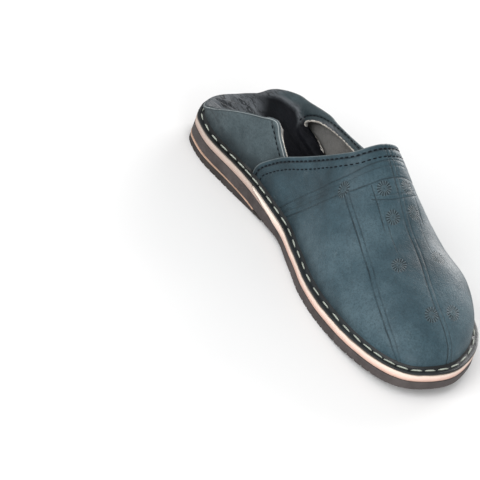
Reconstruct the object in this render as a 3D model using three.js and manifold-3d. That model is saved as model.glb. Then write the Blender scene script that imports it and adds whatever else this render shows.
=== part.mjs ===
import * as THREE from "three";
import { mergeVertices } from "three/addons/utils/BufferGeometryUtils.js";
import Module from "manifold-3d";

// A leather babouche slipper with a trodden-down heel, left shoe, in millimetres.
// +X runs from heel to toe, -Y is the inner side, +Z is up, and x = 0 is the back of the heel.

// Driving sizes of the sole
const LENGTH = 285;
const MIDSOLE = 4.8;
const OUTSOLE_HEEL = 7.2;
const OUTSOLE_WAIST = 6.3;
const LIFT_LEATHER = 1.8;
const LIFT_LEATHER_TIP = 0.6;
const LIFT_LEATHER_END = 102;
const HEEL_PIECE_END = 112;
const SOLE_HEEL = 18.4;
const SOLE_FORE = 10.4;
const GAP = 0.3;
const OUTLINE_ENDS = { heel: -2.5, toe: -8.5 };

// How far each layer stands out past the flange, and how much wider its lower edge is
const OUTSOLE_SIDE = { inset: -0.1, flare: 0.3 };
const LEATHER_SIDE = { inset: -0.2, flare: 0.1 };
const HEEL_SIDE = { inset: -0.3, flare: 0.3 };

// Slopes of the sole by share of the length: the fall from heel to ball, the arch, the toe spring
const HEEL_FALL = { from: 0.24, run: 0.3 };
const ARCH = { from: 0.28, run: 0.32, rise: 2 };
const TOE_LIFT = { from: 0.7, run: 0.42, rise: 7.7 };

// Where the heel piece rises past the leather's end to meet the outsole
const LEATHER_STEP = { clear: 1, run: 6 };

// Driving sizes of the upper
const WELT_WIDTH = 4.5;
const WELT_THICK = 1.4;
const WELT_EDGE_THICK = 1.1;
const WELT_SET_IN = 0.2;
const WALL_INSET = WELT_WIDTH + 2 * GAP;
const VAMP_THICK = 2;
const QUARTER_THICK = 1.8;
const WING_LAP = { depth: 1.5, from: 76, run: 14 };
const FOLD_RADIUS = 3.1;
const FOLD_DIP_MOST = 1.2;
const LEAN_POWER = 1.9;
const FLAP_BULGE = 0.28;
const INSOLE_THICK = 2;
const INSOLE_INSET = 8.8;

// Half widths of the flange, from the line through the heel, at shares of the length
const OUTLINE = [
  { at: 0.03, inner: 24, outer: 18.3 },
  { at: 0.08, inner: 34.5, outer: 28.5 },
  { at: 0.16, inner: 37.9, outer: 35.8 },
  { at: 0.25, inner: 35.6, outer: 37.3 },
  { at: 0.35, inner: 32.5, outer: 38.6 },
  { at: 0.45, inner: 31.5, outer: 42 },
  { at: 0.55, inner: 38.1, outer: 47 },
  { at: 0.65, inner: 46.2, outer: 50.5 },
  { at: 0.72, inner: 48.8, outer: 52.9 },
  { at: 0.8, inner: 49.3, outer: 50.6 },
  { at: 0.88, inner: 47.3, outer: 41.7 },
  { at: 0.94, inner: 42.4, outer: 27.9 },
  { at: 0.98, inner: 33, outer: 11.2 },
];

// Sections of the vamp: height over the midsole, side shift of the ridge, fullness of each side
const TOE_END = LENGTH - WALL_INSET;
const VAMP = [
  { x: 76, height: 87.5, ridge: 0, inner: 1.9, outer: 2.05 },
  { x: 115, height: 87, ridge: 0.4, inner: 1.9, outer: 2.05 },
  { x: 145, height: 80.5, ridge: 4.5, inner: 1.98, outer: 2.12 },
  { x: 175, height: 60, ridge: 7.2, inner: 2.07, outer: 2.15 },
  { x: 205, height: 43.2, ridge: 4.5, inner: 2.16, outer: 2.22 },
  { x: 230, height: 36.4, ridge: 1.3, inner: 2.29, outer: 2.62 },
  { x: 252, height: 27.2, ridge: -2.3, inner: 2.33, outer: 2.55 },
  { x: 266, height: 18.3, ridge: -4.6, inner: 2.36, outer: 2.5 },
  { x: 276, height: 9, ridge: -7, inner: 2.4, outer: 2.45 },
  { x: TOE_END, height: 0, ridge: -8.5, inner: 2.4, outer: 2.45 },
];

// Side view of the collar, from the foot of the wings to the top of the instep
const COLLAR = [
  { x: 86, z: 0 },
  { x: 86, z: 20 },
  { x: 88, z: 28 },
  { x: 94, z: 35.5 },
  { x: 105, z: 46 },
  { x: 120, z: 57 },
  { x: 133, z: 67 },
  { x: 144, z: 76 },
  { x: 150.5, z: 82.5 },
  { x: 154, z: 92 },
  { x: 156, z: 110 },
];

// The quarter round the heel: place is the distance from the heel's back, minus on the inner side.
// fold is the height of the crushed fold and lean how far it tips in.
// edgeX, edgeY and edgeZ give the free edge of the part that is trodden down.
const QUARTER = [
  { place: -122, fold: 20, lean: 1, edgeX: 122, edgeY: -20, edgeZ: 28.5 },
  { place: -104, fold: 30, lean: 2.1, edgeX: 104, edgeY: -19.5, edgeZ: 41 },
  { place: -94, fold: 36, lean: 3.1, edgeX: 94, edgeY: -19, edgeZ: 49 },
  { place: -87, fold: 42, lean: 4.2, edgeX: 88.5, edgeY: -17.5, edgeZ: 54 },
  { place: -75, fold: 37.5, lean: 3.4, edgeX: 94, edgeY: -15, edgeZ: 40 },
  { place: -62, fold: 31.5, lean: 3.1, edgeX: 97, edgeY: -14, edgeZ: 30 },
  { place: -41, fold: 20, lean: 2.9, edgeX: 98, edgeY: -11, edgeZ: 24 },
  { place: -24, fold: 10, lean: 2.2, edgeX: 98, edgeY: -6, edgeZ: 23 },
  { place: -10, fold: 6, lean: 1.2, edgeX: 97, edgeY: -1, edgeZ: 23 },
  { place: 0, fold: 5.6, lean: 1, edgeX: 96, edgeY: 6, edgeZ: 23 },
  { place: 9, fold: 11.5, lean: 1.2, edgeX: 94, edgeY: 13, edgeZ: 23.2 },
  { place: 17.5, fold: 19.5, lean: 1.2, edgeX: 91, edgeY: 20, edgeZ: 24.5 },
  { place: 25, fold: 24, lean: 1.5, edgeX: 88, edgeY: 24.5, edgeZ: 27 },
  { place: 33, fold: 27, lean: 1.8, edgeX: 83, edgeY: 26.5, edgeZ: 29.5 },
  { place: 44, fold: 29.8, lean: 2.4, edgeX: 74, edgeY: 26.5, edgeZ: 32.5 },
  { place: 53, fold: 31, lean: 2.7, edgeX: 66, edgeY: 24.5, edgeZ: 34.5 },
  { place: 60, fold: 32.5, lean: 3, edgeX: 62, edgeY: 22, edgeZ: 38 },
  { place: 68, fold: 34.5, lean: 3.4, edgeX: 67, edgeY: 21, edgeZ: 43.5 },
  { place: 78, fold: 36.8, lean: 3.8, edgeX: 78, edgeY: 20.8, edgeZ: 49.5 },
  { place: 90, fold: 38.5, lean: 4, edgeX: 90, edgeY: 21.3, edgeZ: 52 },
  { place: 105, fold: 40.8, lean: 4.2, edgeX: 105, edgeY: 22, edgeZ: 53 },
  { place: 122, fold: 44, lean: 4.9, edgeX: 122, edgeY: 22.5, edgeZ: 53 },
];

// Ribs across the parts of the tread that stand on the floor
const RIB_PITCH = 6.5;
const RIB_GROOVE = 2;
const RIB_DEPTH = 0.8;
const RIB_SLOPE = 0.3;
const RIB_CLEAR = 0.4;
const END_CLEAR = 2;
const RIB_FIELDS = {
  heel: { from: 14, to: 88 },
  fore: { from: 162, to: 268 },
};

// Numbers of steps
const OUTLINE_STEPS = 480;
const SOLE_STEPS = 44;
const WELT_STEPS = 132;
const VAMP_STEPS = 24;
const VAMP_SPANS = 30;
const QUARTER_STEPS = 54;
const WALL_SPANS = 6;
const FOLD_SPANS = 4;
const FLAP_SPANS = 7;
const COLLAR_STEPS = 30;
const END_SHARE = 0.0002;
const NOSE_CLEAR = 0.1;
const RISE_LEAST = 0.4;
const CUT_PAST = 20;
const CUT_BELOW = 2;
const WELD = 1e-4;

const clamp = (value, low, high) => Math.min(Math.max(value, low), high);
const mix = (a, b, share) => a + (b - a) * share;

function smooth(share) {
  const t = clamp(share, 0, 1);
  return t * t * (3 - 2 * t);
}

// A smooth curve through a table's column that doesn't overshoot its rows
function column(rows, key, name) {
  const x = rows.map((row) => row[key]);
  const y = rows.map((row) => row[name]);
  const rise = x.slice(1).map((v, i) => (y[i + 1] - y[i]) / (v - x[i]));
  const slope = x.map((_, i) => {
    if (i === 0) return rise[0];
    if (i === x.length - 1) return rise[i - 1];
    if (rise[i - 1] * rise[i] <= 0) return 0;
    return (2 * rise[i - 1] * rise[i]) / (rise[i - 1] + rise[i]);
  });
  return (at) => {
    const v = clamp(at, x[0], x[x.length - 1]);
    let i = 0;
    while (i < x.length - 2 && v > x[i + 1]) i += 1;
    const width = x[i + 1] - x[i];
    const t = (v - x[i]) / width;
    const a = y[i] * (1 + 2 * t) * (1 - t) ** 2 + slope[i] * width * t * (1 - t) ** 2;
    return a + y[i + 1] * t * t * (3 - 2 * t) + slope[i + 1] * width * t * t * (t - 1);
  };
}

// The angle of a place on the outline: 0 at the heel's back, pi at the toe
const turnOf = (share) => Math.acos(1 - 2 * clamp(share, 0, 1));

// The flange's outline as one closed run of points, from the toe along the inner side and back
function flangePoints() {
  const side = (name, sign) => {
    const rows = OUTLINE.map((row) => ({ turn: turnOf(row.at), half: row[name] }));
    const heel = { turn: 0, half: sign * OUTLINE_ENDS.heel };
    const toe = { turn: Math.PI, half: sign * OUTLINE_ENDS.toe };
    return column([heel, ...rows, toe], "turn", "half");
  };
  const inner = side("inner", -1);
  const outer = side("outer", 1);
  return Array.from({ length: OUTLINE_STEPS }, (_, i) => {
    const turn = Math.PI - (2 * Math.PI * i) / OUTLINE_STEPS;
    const x = (LENGTH * (1 - Math.cos(turn))) / 2;
    return new THREE.Vector2(x, turn >= 0 ? -inner(turn) : outer(-turn));
  });
}

const FLANGE = flangePoints();

// The unit normal of the flange's outline that points into the shoe, at one of its points
function inwardAt(i) {
  const before = FLANGE[(i + OUTLINE_STEPS - 1) % OUTLINE_STEPS];
  const after = FLANGE[(i + 1) % OUTLINE_STEPS];
  const along = after.clone().sub(before).normalize();
  return new THREE.Vector2(along.y, -along.x);
}

const INWARD = FLANGE.map((_, i) => inwardAt(i));

// The outline drawn in by a distance: its ends along X, and its y on each side at any x
function plan(inset) {
  const drawn = FLANGE.map((point, i) => point.clone().addScaledVector(INWARD[i], inset));
  const heel = drawn[OUTLINE_STEPS / 2];
  const toe = drawn[0];
  const inner = drawn.slice(0, OUTLINE_STEPS / 2 + 1).reverse();
  const outer = [...drawn.slice(OUTLINE_STEPS / 2), toe];
  const reader = (points) => (x) => {
    let i = 0;
    while (i < points.length - 2 && x > points[i + 1].x) i += 1;
    const t = clamp((x - points[i].x) / (points[i + 1].x - points[i].x), 0, 1);
    return mix(points[i].y, points[i + 1].y, t);
  };
  return { from: heel.x, to: toe.x, inner: reader(inner), outer: reader(outer) };
}

// Heights along the sole: the tread, the midsole's top, and the layers between
const along = (x, slope) => clamp((x / LENGTH - slope.from) / slope.run, 0, 1);
const toeSpring = (x) => TOE_LIFT.rise * smooth(along(x, TOE_LIFT));
const archRise = (x) => ARCH.rise * Math.sin(Math.PI * along(x, ARCH)) ** 2;
const treadAt = (x) => toeSpring(x) + archRise(x);
const heelShare = (x) => 1 - smooth(along(x, HEEL_FALL));
const topAt = (x) => mix(SOLE_FORE, SOLE_HEEL, heelShare(x)) + toeSpring(x);
const midsoleUnder = (x) => topAt(x) - MIDSOLE;
const outsoleUnder = (x) =>
  Math.max(midsoleUnder(x) - GAP - mix(OUTSOLE_WAIST, OUTSOLE_HEEL, heelShare(x)), treadAt(x));
const leatherThick = (x) => mix(LIFT_LEATHER, LIFT_LEATHER_TIP, smooth(x / LIFT_LEATHER_END));
const leatherTop = (x) => outsoleUnder(x) - GAP;
const leatherUnder = (x) => leatherTop(x) - leatherThick(x);
const leatherFade = (x) => 1 - smooth((x - LIFT_LEATHER_END - LEATHER_STEP.clear) / LEATHER_STEP.run);
const heelPieceTop = (x) => outsoleUnder(x) - GAP - (leatherThick(x) + GAP) * leatherFade(x);

// A body from rings of points: neighbours are joined by quads, and open ends get a cap
function loft(rings, { closed = false, strip = false } = {}) {
  const size = rings[0].length;
  const faces = [];
  const put = (...points) => {
    for (let i = 1; i < points.length - 1; i += 1) faces.push(points[0], points[i], points[i + 1]);
  };
  const spans = closed ? rings.length : rings.length - 1;
  for (let i = 0; i < spans; i += 1) {
    const a = rings[i];
    const b = rings[(i + 1) % rings.length];
    for (let j = 0; j < size; j += 1) {
      const k = (j + 1) % size;
      put(a[j], b[j], b[k], a[k]);
    }
  }
  if (!closed) {
    const ends = [rings[0], [...rings[rings.length - 1]].reverse()];
    for (const end of ends) {
      if (strip) {
        for (let j = 0; j < size / 2 - 1; j += 1) {
          put(end[j], end[j + 1], end[size - 2 - j], end[size - 1 - j]);
        }
      } else {
        put(...end);
      }
    }
  }
  return outward(new THREE.BufferGeometry().setFromPoints(faces));
}

// Turns the faces of a closed body to the outside
function outward(geometry) {
  const p = geometry.getAttribute("position");
  const [a, b, c] = [new THREE.Vector3(), new THREE.Vector3(), new THREE.Vector3()];
  let volume = 0;
  for (let i = 0; i < p.count; i += 3) {
    a.fromBufferAttribute(p, i);
    b.fromBufferAttribute(p, i + 1);
    c.fromBufferAttribute(p, i + 2);
    volume += a.dot(b.cross(c));
  }
  if (volume >= 0) return geometry;
  for (let i = 0; i < p.count; i += 3) {
    a.fromBufferAttribute(p, i + 1);
    b.fromBufferAttribute(p, i + 2);
    p.setXYZ(i + 1, b.x, b.y, b.z);
    p.setXYZ(i + 2, a.x, a.y, a.z);
  }
  return geometry;
}

// Shares of a length, closer together at its two ends, or at its far end only
const roundShares = (steps) =>
  Array.from({ length: steps + 1 }, (_, i) => (1 - Math.cos((Math.PI * i) / steps)) / 2);
const noseShares = (steps) =>
  Array.from({ length: steps + 1 }, (_, i) => Math.sin((Math.PI * i) / steps / 2));

// The x of each groove's four corners, up to an x
function ribCorners(until) {
  const shares = [0, RIB_SLOPE, 1 - RIB_SLOPE, 1];
  return Object.values(RIB_FIELDS).flatMap((field) => {
    const count = Math.floor((field.to - field.from) / RIB_PITCH);
    return Array.from({ length: count }, (_, i) => field.from + i * RIB_PITCH)
      .flatMap((x) => shares.map((share) => x + RIB_GROOVE * share))
      .filter((x) => x < until - END_CLEAR);
  });
}

// How deep the tread is cut at x, nothing between the grooves
function grooveAt(x) {
  for (const field of Object.values(RIB_FIELDS)) {
    const count = Math.floor((field.to - field.from) / RIB_PITCH);
    const index = Math.floor((x - field.from + WELD) / RIB_PITCH);
    const into = x - field.from - index * RIB_PITCH;
    if (index >= 0 && index < count && into <= RIB_GROOVE + WELD) {
      return RIB_DEPTH * clamp(Math.min(into, RIB_GROOVE - into) / (RIB_GROOVE * RIB_SLOPE), 0, 1);
    }
  }
  return 0;
}

// One layer of the sole, square across, between two heights and up to an x
function soleLayer({ inset = 0, flare = 0, top, under, until = LENGTH, ribs = false }) {
  const upperPlan = plan(inset);
  const underPlan = plan(inset - flare);
  const shares = roundShares(SOLE_STEPS).map((share) => clamp(share, END_SHARE, 1 - END_SHARE));
  let places = shares.map((share) => mix(upperPlan.from, upperPlan.to, share));
  if (until < LENGTH) places = [...places.filter((x) => x < until - END_CLEAR), until];
  if (ribs) {
    const corners = ribCorners(until);
    const apart = (x) => corners.every((corner) => Math.abs(corner - x) > RIB_CLEAR);
    places = [...places.filter((x, i) => i === 0 || apart(x)), ...corners].sort((a, b) => a - b);
  }
  const rings = places.map((x) => {
    const share = (x - upperPlan.from) / (upperPlan.to - upperPlan.from);
    const low = mix(underPlan.from, underPlan.to, share);
    const depth = ribs ? grooveAt(x) : 0;
    return [
      new THREE.Vector3(x, upperPlan.inner(x), top(x)),
      new THREE.Vector3(x, upperPlan.outer(x), top(x)),
      new THREE.Vector3(low, underPlan.outer(low), under(x) + depth),
      new THREE.Vector3(low, underPlan.inner(low), under(x) + depth),
    ];
  });
  return loft(rings);
}

// The dark turned-out edge of the upper, a ring on the midsole all round
function weltRing() {
  const step = OUTLINE_STEPS / WELT_STEPS;
  const rings = Array.from({ length: WELT_STEPS }, (_, i) => {
    const k = Math.round(i * step) % OUTLINE_STEPS;
    const edge = FLANGE[k].clone().addScaledVector(INWARD[k], WELT_SET_IN);
    const root = FLANGE[k].clone().addScaledVector(INWARD[k], WELT_WIDTH);
    const low = (point) => topAt(point.x) + GAP;
    return [
      new THREE.Vector3(edge.x, edge.y, low(edge)),
      new THREE.Vector3(edge.x, edge.y, low(edge) + WELT_EDGE_THICK),
      new THREE.Vector3(root.x, root.y, low(root) + WELT_THICK),
      new THREE.Vector3(root.x, root.y, low(root)),
    ];
  });
  return loft(rings, { closed: true });
}

// The vamp's form as a solid dome, drawn in by a distance for the inside of its wall
function vampDome(drawIn, sink) {
  const base = plan(WALL_INSET + drawIn);
  const squares = VAMP.map((row) => ({ x: row.x, square: row.height ** 2 }));
  const squareAt = column(squares, "x", "square");
  const ridgeAt = column(VAMP, "x", "ridge");
  const innerAt = column(VAMP, "x", "inner");
  const outerAt = column(VAMP, "x", "outer");
  const from = VAMP[0].x;
  const rings = noseShares(VAMP_STEPS).map((share) => {
    const x = mix(from, TOE_END - NOSE_CLEAR, share);
    const place = mix(from, base.to - NOSE_CLEAR, share);
    const [left, right] = [base.inner(place), base.outer(place)];
    const ridge = clamp(ridgeAt(x), left + NOSE_CLEAR, right - NOSE_CLEAR);
    const height = Math.max(Math.sqrt(squareAt(x)) - drawIn, RISE_LEAST);
    const foot = topAt(place) + GAP;
    const ring = Array.from({ length: VAMP_SPANS + 1 }, (_, j) => {
      const turn = (Math.PI * j) / VAMP_SPANS;
      const power = 2 / (turn < Math.PI / 2 ? innerAt(x) : outerAt(x));
      const reach = Math.abs(Math.cos(turn)) ** power;
      const rise = Math.sin(turn) ** power;
      const y = ridge + ((turn < Math.PI / 2 ? left : right) - ridge) * reach;
      return new THREE.Vector3(place, y, foot + height * rise);
    });
    const floor = [ring[VAMP_SPANS], ring[0]].map((p) => new THREE.Vector3(place, p.y, foot - sink));
    return sink > 0 ? [...ring, ...floor] : ring;
  });
  return loft(rings);
}

// Everything behind the collar's line, to cut the vamp open
function collarCutter() {
  const points = COLLAR.map((row) => new THREE.Vector2(row.x, row.z));
  const line = new THREE.SplineCurve(points).getSpacedPoints(COLLAR_STEPS);
  const behind = VAMP[0].x - CUT_PAST;
  const top = COLLAR[COLLAR.length - 1].z;
  const corners = [new THREE.Vector2(behind, 0), ...line, new THREE.Vector2(behind, top)];
  const shape = new THREE.Shape(corners);
  const geometry = new THREE.ExtrudeGeometry(shape, { depth: LENGTH, bevelEnabled: false });
  return geometry.rotateX(Math.PI / 2).translate(0, LENGTH / 2, 0);
}

// The quarter's grain side at one step from the inner wing round the heel to the outer wing
function quarterPath(share) {
  const reach = turnOf(-QUARTER[0].place / LENGTH);
  const turn = mix(-reach, reach, share);
  const turned = QUARTER.map((row) => {
    return { ...row, turn: Math.sign(row.place) * turnOf(Math.abs(row.place) / LENGTH) };
  });
  const read = (name) => column(turned, "turn", name)(turn);
  const index = (OUTLINE_STEPS / 2) * (1 + turn / Math.PI);
  const k = Math.floor(index);
  const edge = FLANGE[k].clone().lerp(FLANGE[(k + 1) % OUTLINE_STEPS], index - k);
  const inward = INWARD[k].clone().lerp(INWARD[(k + 1) % OUTLINE_STEPS], index - k).normalize();
  const inset = WALL_INSET + WING_LAP.depth * smooth((edge.x - WING_LAP.from) / WING_LAP.run);
  const foot = edge.clone().addScaledVector(inward, inset);
  const base = topAt(foot.x) + GAP;
  const lean = read("lean");
  const radius = Math.min(FOLD_RADIUS, read("fold") / 2);
  const wallTop = read("fold") - radius;
  const at = (into, up) => {
    const point = foot.clone().addScaledVector(inward, into);
    return new THREE.Vector3(point.x, point.y, base + up);
  };
  const path = [];
  for (let j = 0; j <= WALL_SPANS; j += 1) {
    const up = (wallTop * j) / WALL_SPANS;
    path.push(at(lean * (up / wallTop) ** LEAN_POWER, up));
  }
  const free = new THREE.Vector3(read("edgeX"), read("edgeY"), read("edgeZ"));
  const crest = at(lean + radius, wallTop + radius);
  const away = free.clone().sub(crest);
  const dip = Math.atan2(-away.z, Math.hypot(away.x, away.y));
  const bend = Math.PI / 2 + clamp(dip, 0, FOLD_DIP_MOST);
  for (let j = 1; j <= FOLD_SPANS; j += 1) {
    const angle = (bend * j) / FOLD_SPANS;
    path.push(at(lean + radius * (1 - Math.cos(angle)), wallTop + radius * Math.sin(angle)));
  }
  const start = path[path.length - 1];
  const heading = at(Math.sin(bend), Math.cos(bend)).sub(at(0, 0));
  const middle = start.clone().addScaledVector(heading, FLAP_BULGE * start.distanceTo(free));
  const flap = new THREE.QuadraticBezierCurve3(start, middle, free);
  for (let j = 1; j <= FLAP_SPANS; j += 1) path.push(flap.getPoint(j / FLAP_SPANS));
  return path;
}

// The quarter's wall, fold and trodden-down part as one sheet of its real thickness
function quarterSheet() {
  const grain = Array.from({ length: QUARTER_STEPS + 1 }, (_, i) => quarterPath(i / QUARTER_STEPS));
  const last = grain[0].length - 1;
  const rings = grain.map((path, i) => {
    const before = grain[Math.max(i - 1, 0)];
    const after = grain[Math.min(i + 1, QUARTER_STEPS)];
    const flesh = path.map((point, j) => {
      const along = after[j].clone().sub(before[j]);
      const across = path[Math.min(j + 1, last)].clone().sub(path[Math.max(j - 1, 0)]);
      const normal = across.cross(along).normalize();
      if (j === 0) normal.setZ(0).normalize();
      return point.clone().addScaledVector(normal, -QUARTER_THICK);
    });
    return [...path, ...flesh.reverse()];
  });
  return loft(rings, { strip: true });
}

const wasm = await Module();
wasm.setup();

function solidOf(geometry) {
  const bare = geometry.clone();
  bare.deleteAttribute("normal");
  bare.deleteAttribute("uv");
  const merged = mergeVertices(bare, WELD);
  const vertProperties = merged.attributes.position.array;
  const triVerts = new Uint32Array(merged.index.array);
  return new wasm.Manifold(new wasm.Mesh({ numProp: 3, vertProperties, triVerts }));
}

function geometryOf(solid) {
  const { vertProperties, triVerts } = solid.getMesh();
  const geometry = new THREE.BufferGeometry();
  geometry.setAttribute("position", new THREE.BufferAttribute(new Float32Array(vertProperties), 3));
  geometry.setIndex(new THREE.BufferAttribute(new Uint32Array(triVerts), 1));
  return geometry.toNonIndexed();
}

// The upper: the vamp's hollow dome cut open at its collar, with its wings sewn over the quarter
function upper() {
  const outside = solidOf(vampDome(0, 0));
  const inside = solidOf(vampDome(VAMP_THICK, GAP + CUT_BELOW));
  const vamp = outside.subtract(inside).subtract(solidOf(collarCutter()));
  return geometryOf(vamp.add(solidOf(quarterSheet())));
}

function insole() {
  return soleLayer({
    inset: INSOLE_INSET,
    top: (x) => topAt(x) + GAP + INSOLE_THICK,
    under: (x) => topAt(x) + GAP,
  });
}

const LEATHER = { color: 0x4a6167, roughness: 0.55 };
const DARK_LEATHER = { color: 0x1f2527, roughness: 0.6 };
const RAW_LEATHER = { color: 0xe2c8ba, roughness: 0.8 };
const LINING = { color: 0x8f867c, roughness: 0.9 };
const TAN_LEATHER = { color: 0xa88c7a, roughness: 0.8 };
const RUBBER = { color: 0x48403e, roughness: 0.85 };
const HEEL_RUBBER = { color: 0x302a28, roughness: 0.85 };

const part = new THREE.Group();

function addPiece(name, geometry, finish) {
  const mesh = new THREE.Mesh(geometry, new THREE.MeshStandardMaterial({ ...finish, metalness: 0 }));
  mesh.name = name;
  geometry.computeVertexNormals();
  part.add(mesh);
}

addPiece("upper", upper(), LEATHER);
addPiece("welt", weltRing(), DARK_LEATHER);
addPiece("insole", insole(), LINING);
addPiece("midsole", soleLayer({ top: topAt, under: midsoleUnder }), RAW_LEATHER);
const outsoleTop = (x) => midsoleUnder(x) - GAP;
const outsoleShape = { ...OUTSOLE_SIDE, top: outsoleTop, under: outsoleUnder, ribs: true };
addPiece("outsole", soleLayer(outsoleShape), RUBBER);
const leatherShape = { ...LEATHER_SIDE, top: leatherTop, under: leatherUnder, until: LIFT_LEATHER_END };
addPiece("heel_leather", soleLayer(leatherShape), TAN_LEATHER);
const heelShape = { ...HEEL_SIDE, top: heelPieceTop, under: treadAt, until: HEEL_PIECE_END, ribs: true };
addPiece("heel_piece", soleLayer(heelShape), HEEL_RUBBER);

const box = new THREE.Box3().setFromObject(part);
const middle = box.getCenter(new THREE.Vector3());
part.position.set(-middle.x, -middle.y, -box.min.z);

const slipper = new THREE.Group();
slipper.add(part);
export default slipper;
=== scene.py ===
import logging
import math
from contextlib import contextmanager
from dataclasses import dataclass
from enum import Enum
from functools import reduce
from typing import Any, Callable, Iterator, Sequence

import bpy
import numpy as np
from mathutils import Matrix, Vector, noise
from mathutils.bvhtree import BVHTree


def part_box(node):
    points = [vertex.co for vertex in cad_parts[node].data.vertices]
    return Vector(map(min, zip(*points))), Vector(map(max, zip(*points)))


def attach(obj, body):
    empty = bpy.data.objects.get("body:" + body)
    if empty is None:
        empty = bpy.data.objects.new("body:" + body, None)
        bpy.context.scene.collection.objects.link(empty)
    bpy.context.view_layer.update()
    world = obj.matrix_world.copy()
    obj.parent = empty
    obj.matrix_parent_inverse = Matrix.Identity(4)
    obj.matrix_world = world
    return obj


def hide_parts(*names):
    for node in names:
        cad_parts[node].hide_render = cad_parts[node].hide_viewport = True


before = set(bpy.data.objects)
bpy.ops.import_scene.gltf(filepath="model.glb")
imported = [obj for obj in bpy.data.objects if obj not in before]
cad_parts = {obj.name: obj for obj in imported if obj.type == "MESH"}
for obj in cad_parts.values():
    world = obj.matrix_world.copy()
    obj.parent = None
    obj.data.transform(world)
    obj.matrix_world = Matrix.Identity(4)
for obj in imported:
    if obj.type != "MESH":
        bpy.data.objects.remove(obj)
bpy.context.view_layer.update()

# A leather babouche slipper, left shoe, dressed in the maker's own millimetres:
# x runs from the heel's back to the toe, minus y is the inner side and z is up from the floor.
# GAP is the air between two pieces, and AWAY stands for a distance that doesn't matter.
MM = 0.001
LENGTH = 285.0
GAP = 0.3
AWAY = 99.0
WELT_WIDTH = 4.5
WELT_SET_IN = 0.2
WALL_INSET = WELT_WIDTH + 2 * GAP
TOE_END = LENGTH - WALL_INSET
ROOT = "root"

log = logging.getLogger("babouche")
Points = np.ndarray
Piece = bpy.types.Object
Socket = Any
Colour = tuple[float, float, float]
Rows = tuple[tuple[float, ...], ...]
Node = bpy.types.Node
Tree = bpy.types.NodeTree


def smooth(share: Any) -> Any:
    """A soft step from 0 to 1 over the same range."""
    t = np.clip(share, 0.0, 1.0)
    return t * t * (3 - 2 * t)


def unit(vectors: Points) -> Points:
    """The vectors at length one."""
    return vectors / np.maximum(np.linalg.norm(vectors, axis=-1, keepdims=True), 1e-12)


def run_along(points: Points) -> Points:
    """The distance along a line of points, from its first point."""
    steps = np.linalg.norm(np.diff(points, axis=0), axis=1)
    return np.concatenate([[0.0], np.cumsum(steps)])


def resample(points: Points, places: Points) -> Points:
    """Points on a line at the given distances along it."""
    run = run_along(points)
    return np.stack([np.interp(places, run, points[:, k]) for k in range(points.shape[1])], axis=1)


def bunched(count: int, slow_from: float = 0.8, slow_to: float = 0.04) -> Points:
    """Shares from 0 to 1 that draw closer together towards 1.

    Args:
        count: how many shares.
        slow_from: where the steps begin to shorten.
        slow_to: the last step as a share of the first.

    Returns:
        The shares in order.
    """
    middle = (np.arange(count - 1) + 0.5) / (count - 1)
    step = 1 - (1 - slow_to) * smooth((middle - slow_from) / (1 - slow_from))
    total = np.concatenate([[0.0], np.cumsum(step)])
    return total / total[-1]


class Column:
    """A smooth curve through the rows of a table that doesn't overshoot them."""

    def __init__(self, places: Sequence[float], values: Sequence[float]) -> None:
        """Takes the rows.

        Args:
            places: the rows' places in rising order.
            values: a value for each row.
        """
        self.places = np.array(places, float)
        self.values = np.array(values, float)
        rise = np.diff(self.values) / np.diff(self.places)
        slope = np.zeros(len(self.places))
        slope[0], slope[-1] = rise[0], rise[-1]
        before, after = rise[:-1], rise[1:]
        same = before * after > 0
        total = np.where(same, before + after, 1.0)
        slope[1:-1] = np.where(same, 2 * before * after / total, 0.0)
        self.slope = slope

    def __call__(self, at: Any) -> Points:
        """The curve's value at each place.

        Args:
            at: one place or more.

        Returns:
            The values.
        """
        v = np.clip(at, self.places[0], self.places[-1])
        i = np.clip(np.searchsorted(self.places, v) - 1, 0, len(self.places) - 2)
        width = self.places[i + 1] - self.places[i]
        t = (v - self.places[i]) / width
        low = self.values[i] * (1 + 2 * t) * (1 - t) ** 2 + self.slope[i] * width * t * (1 - t) ** 2
        high = self.values[i + 1] * t * t * (3 - 2 * t)
        return low + high + self.slope[i + 1] * width * t * t * (t - 1)


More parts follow.
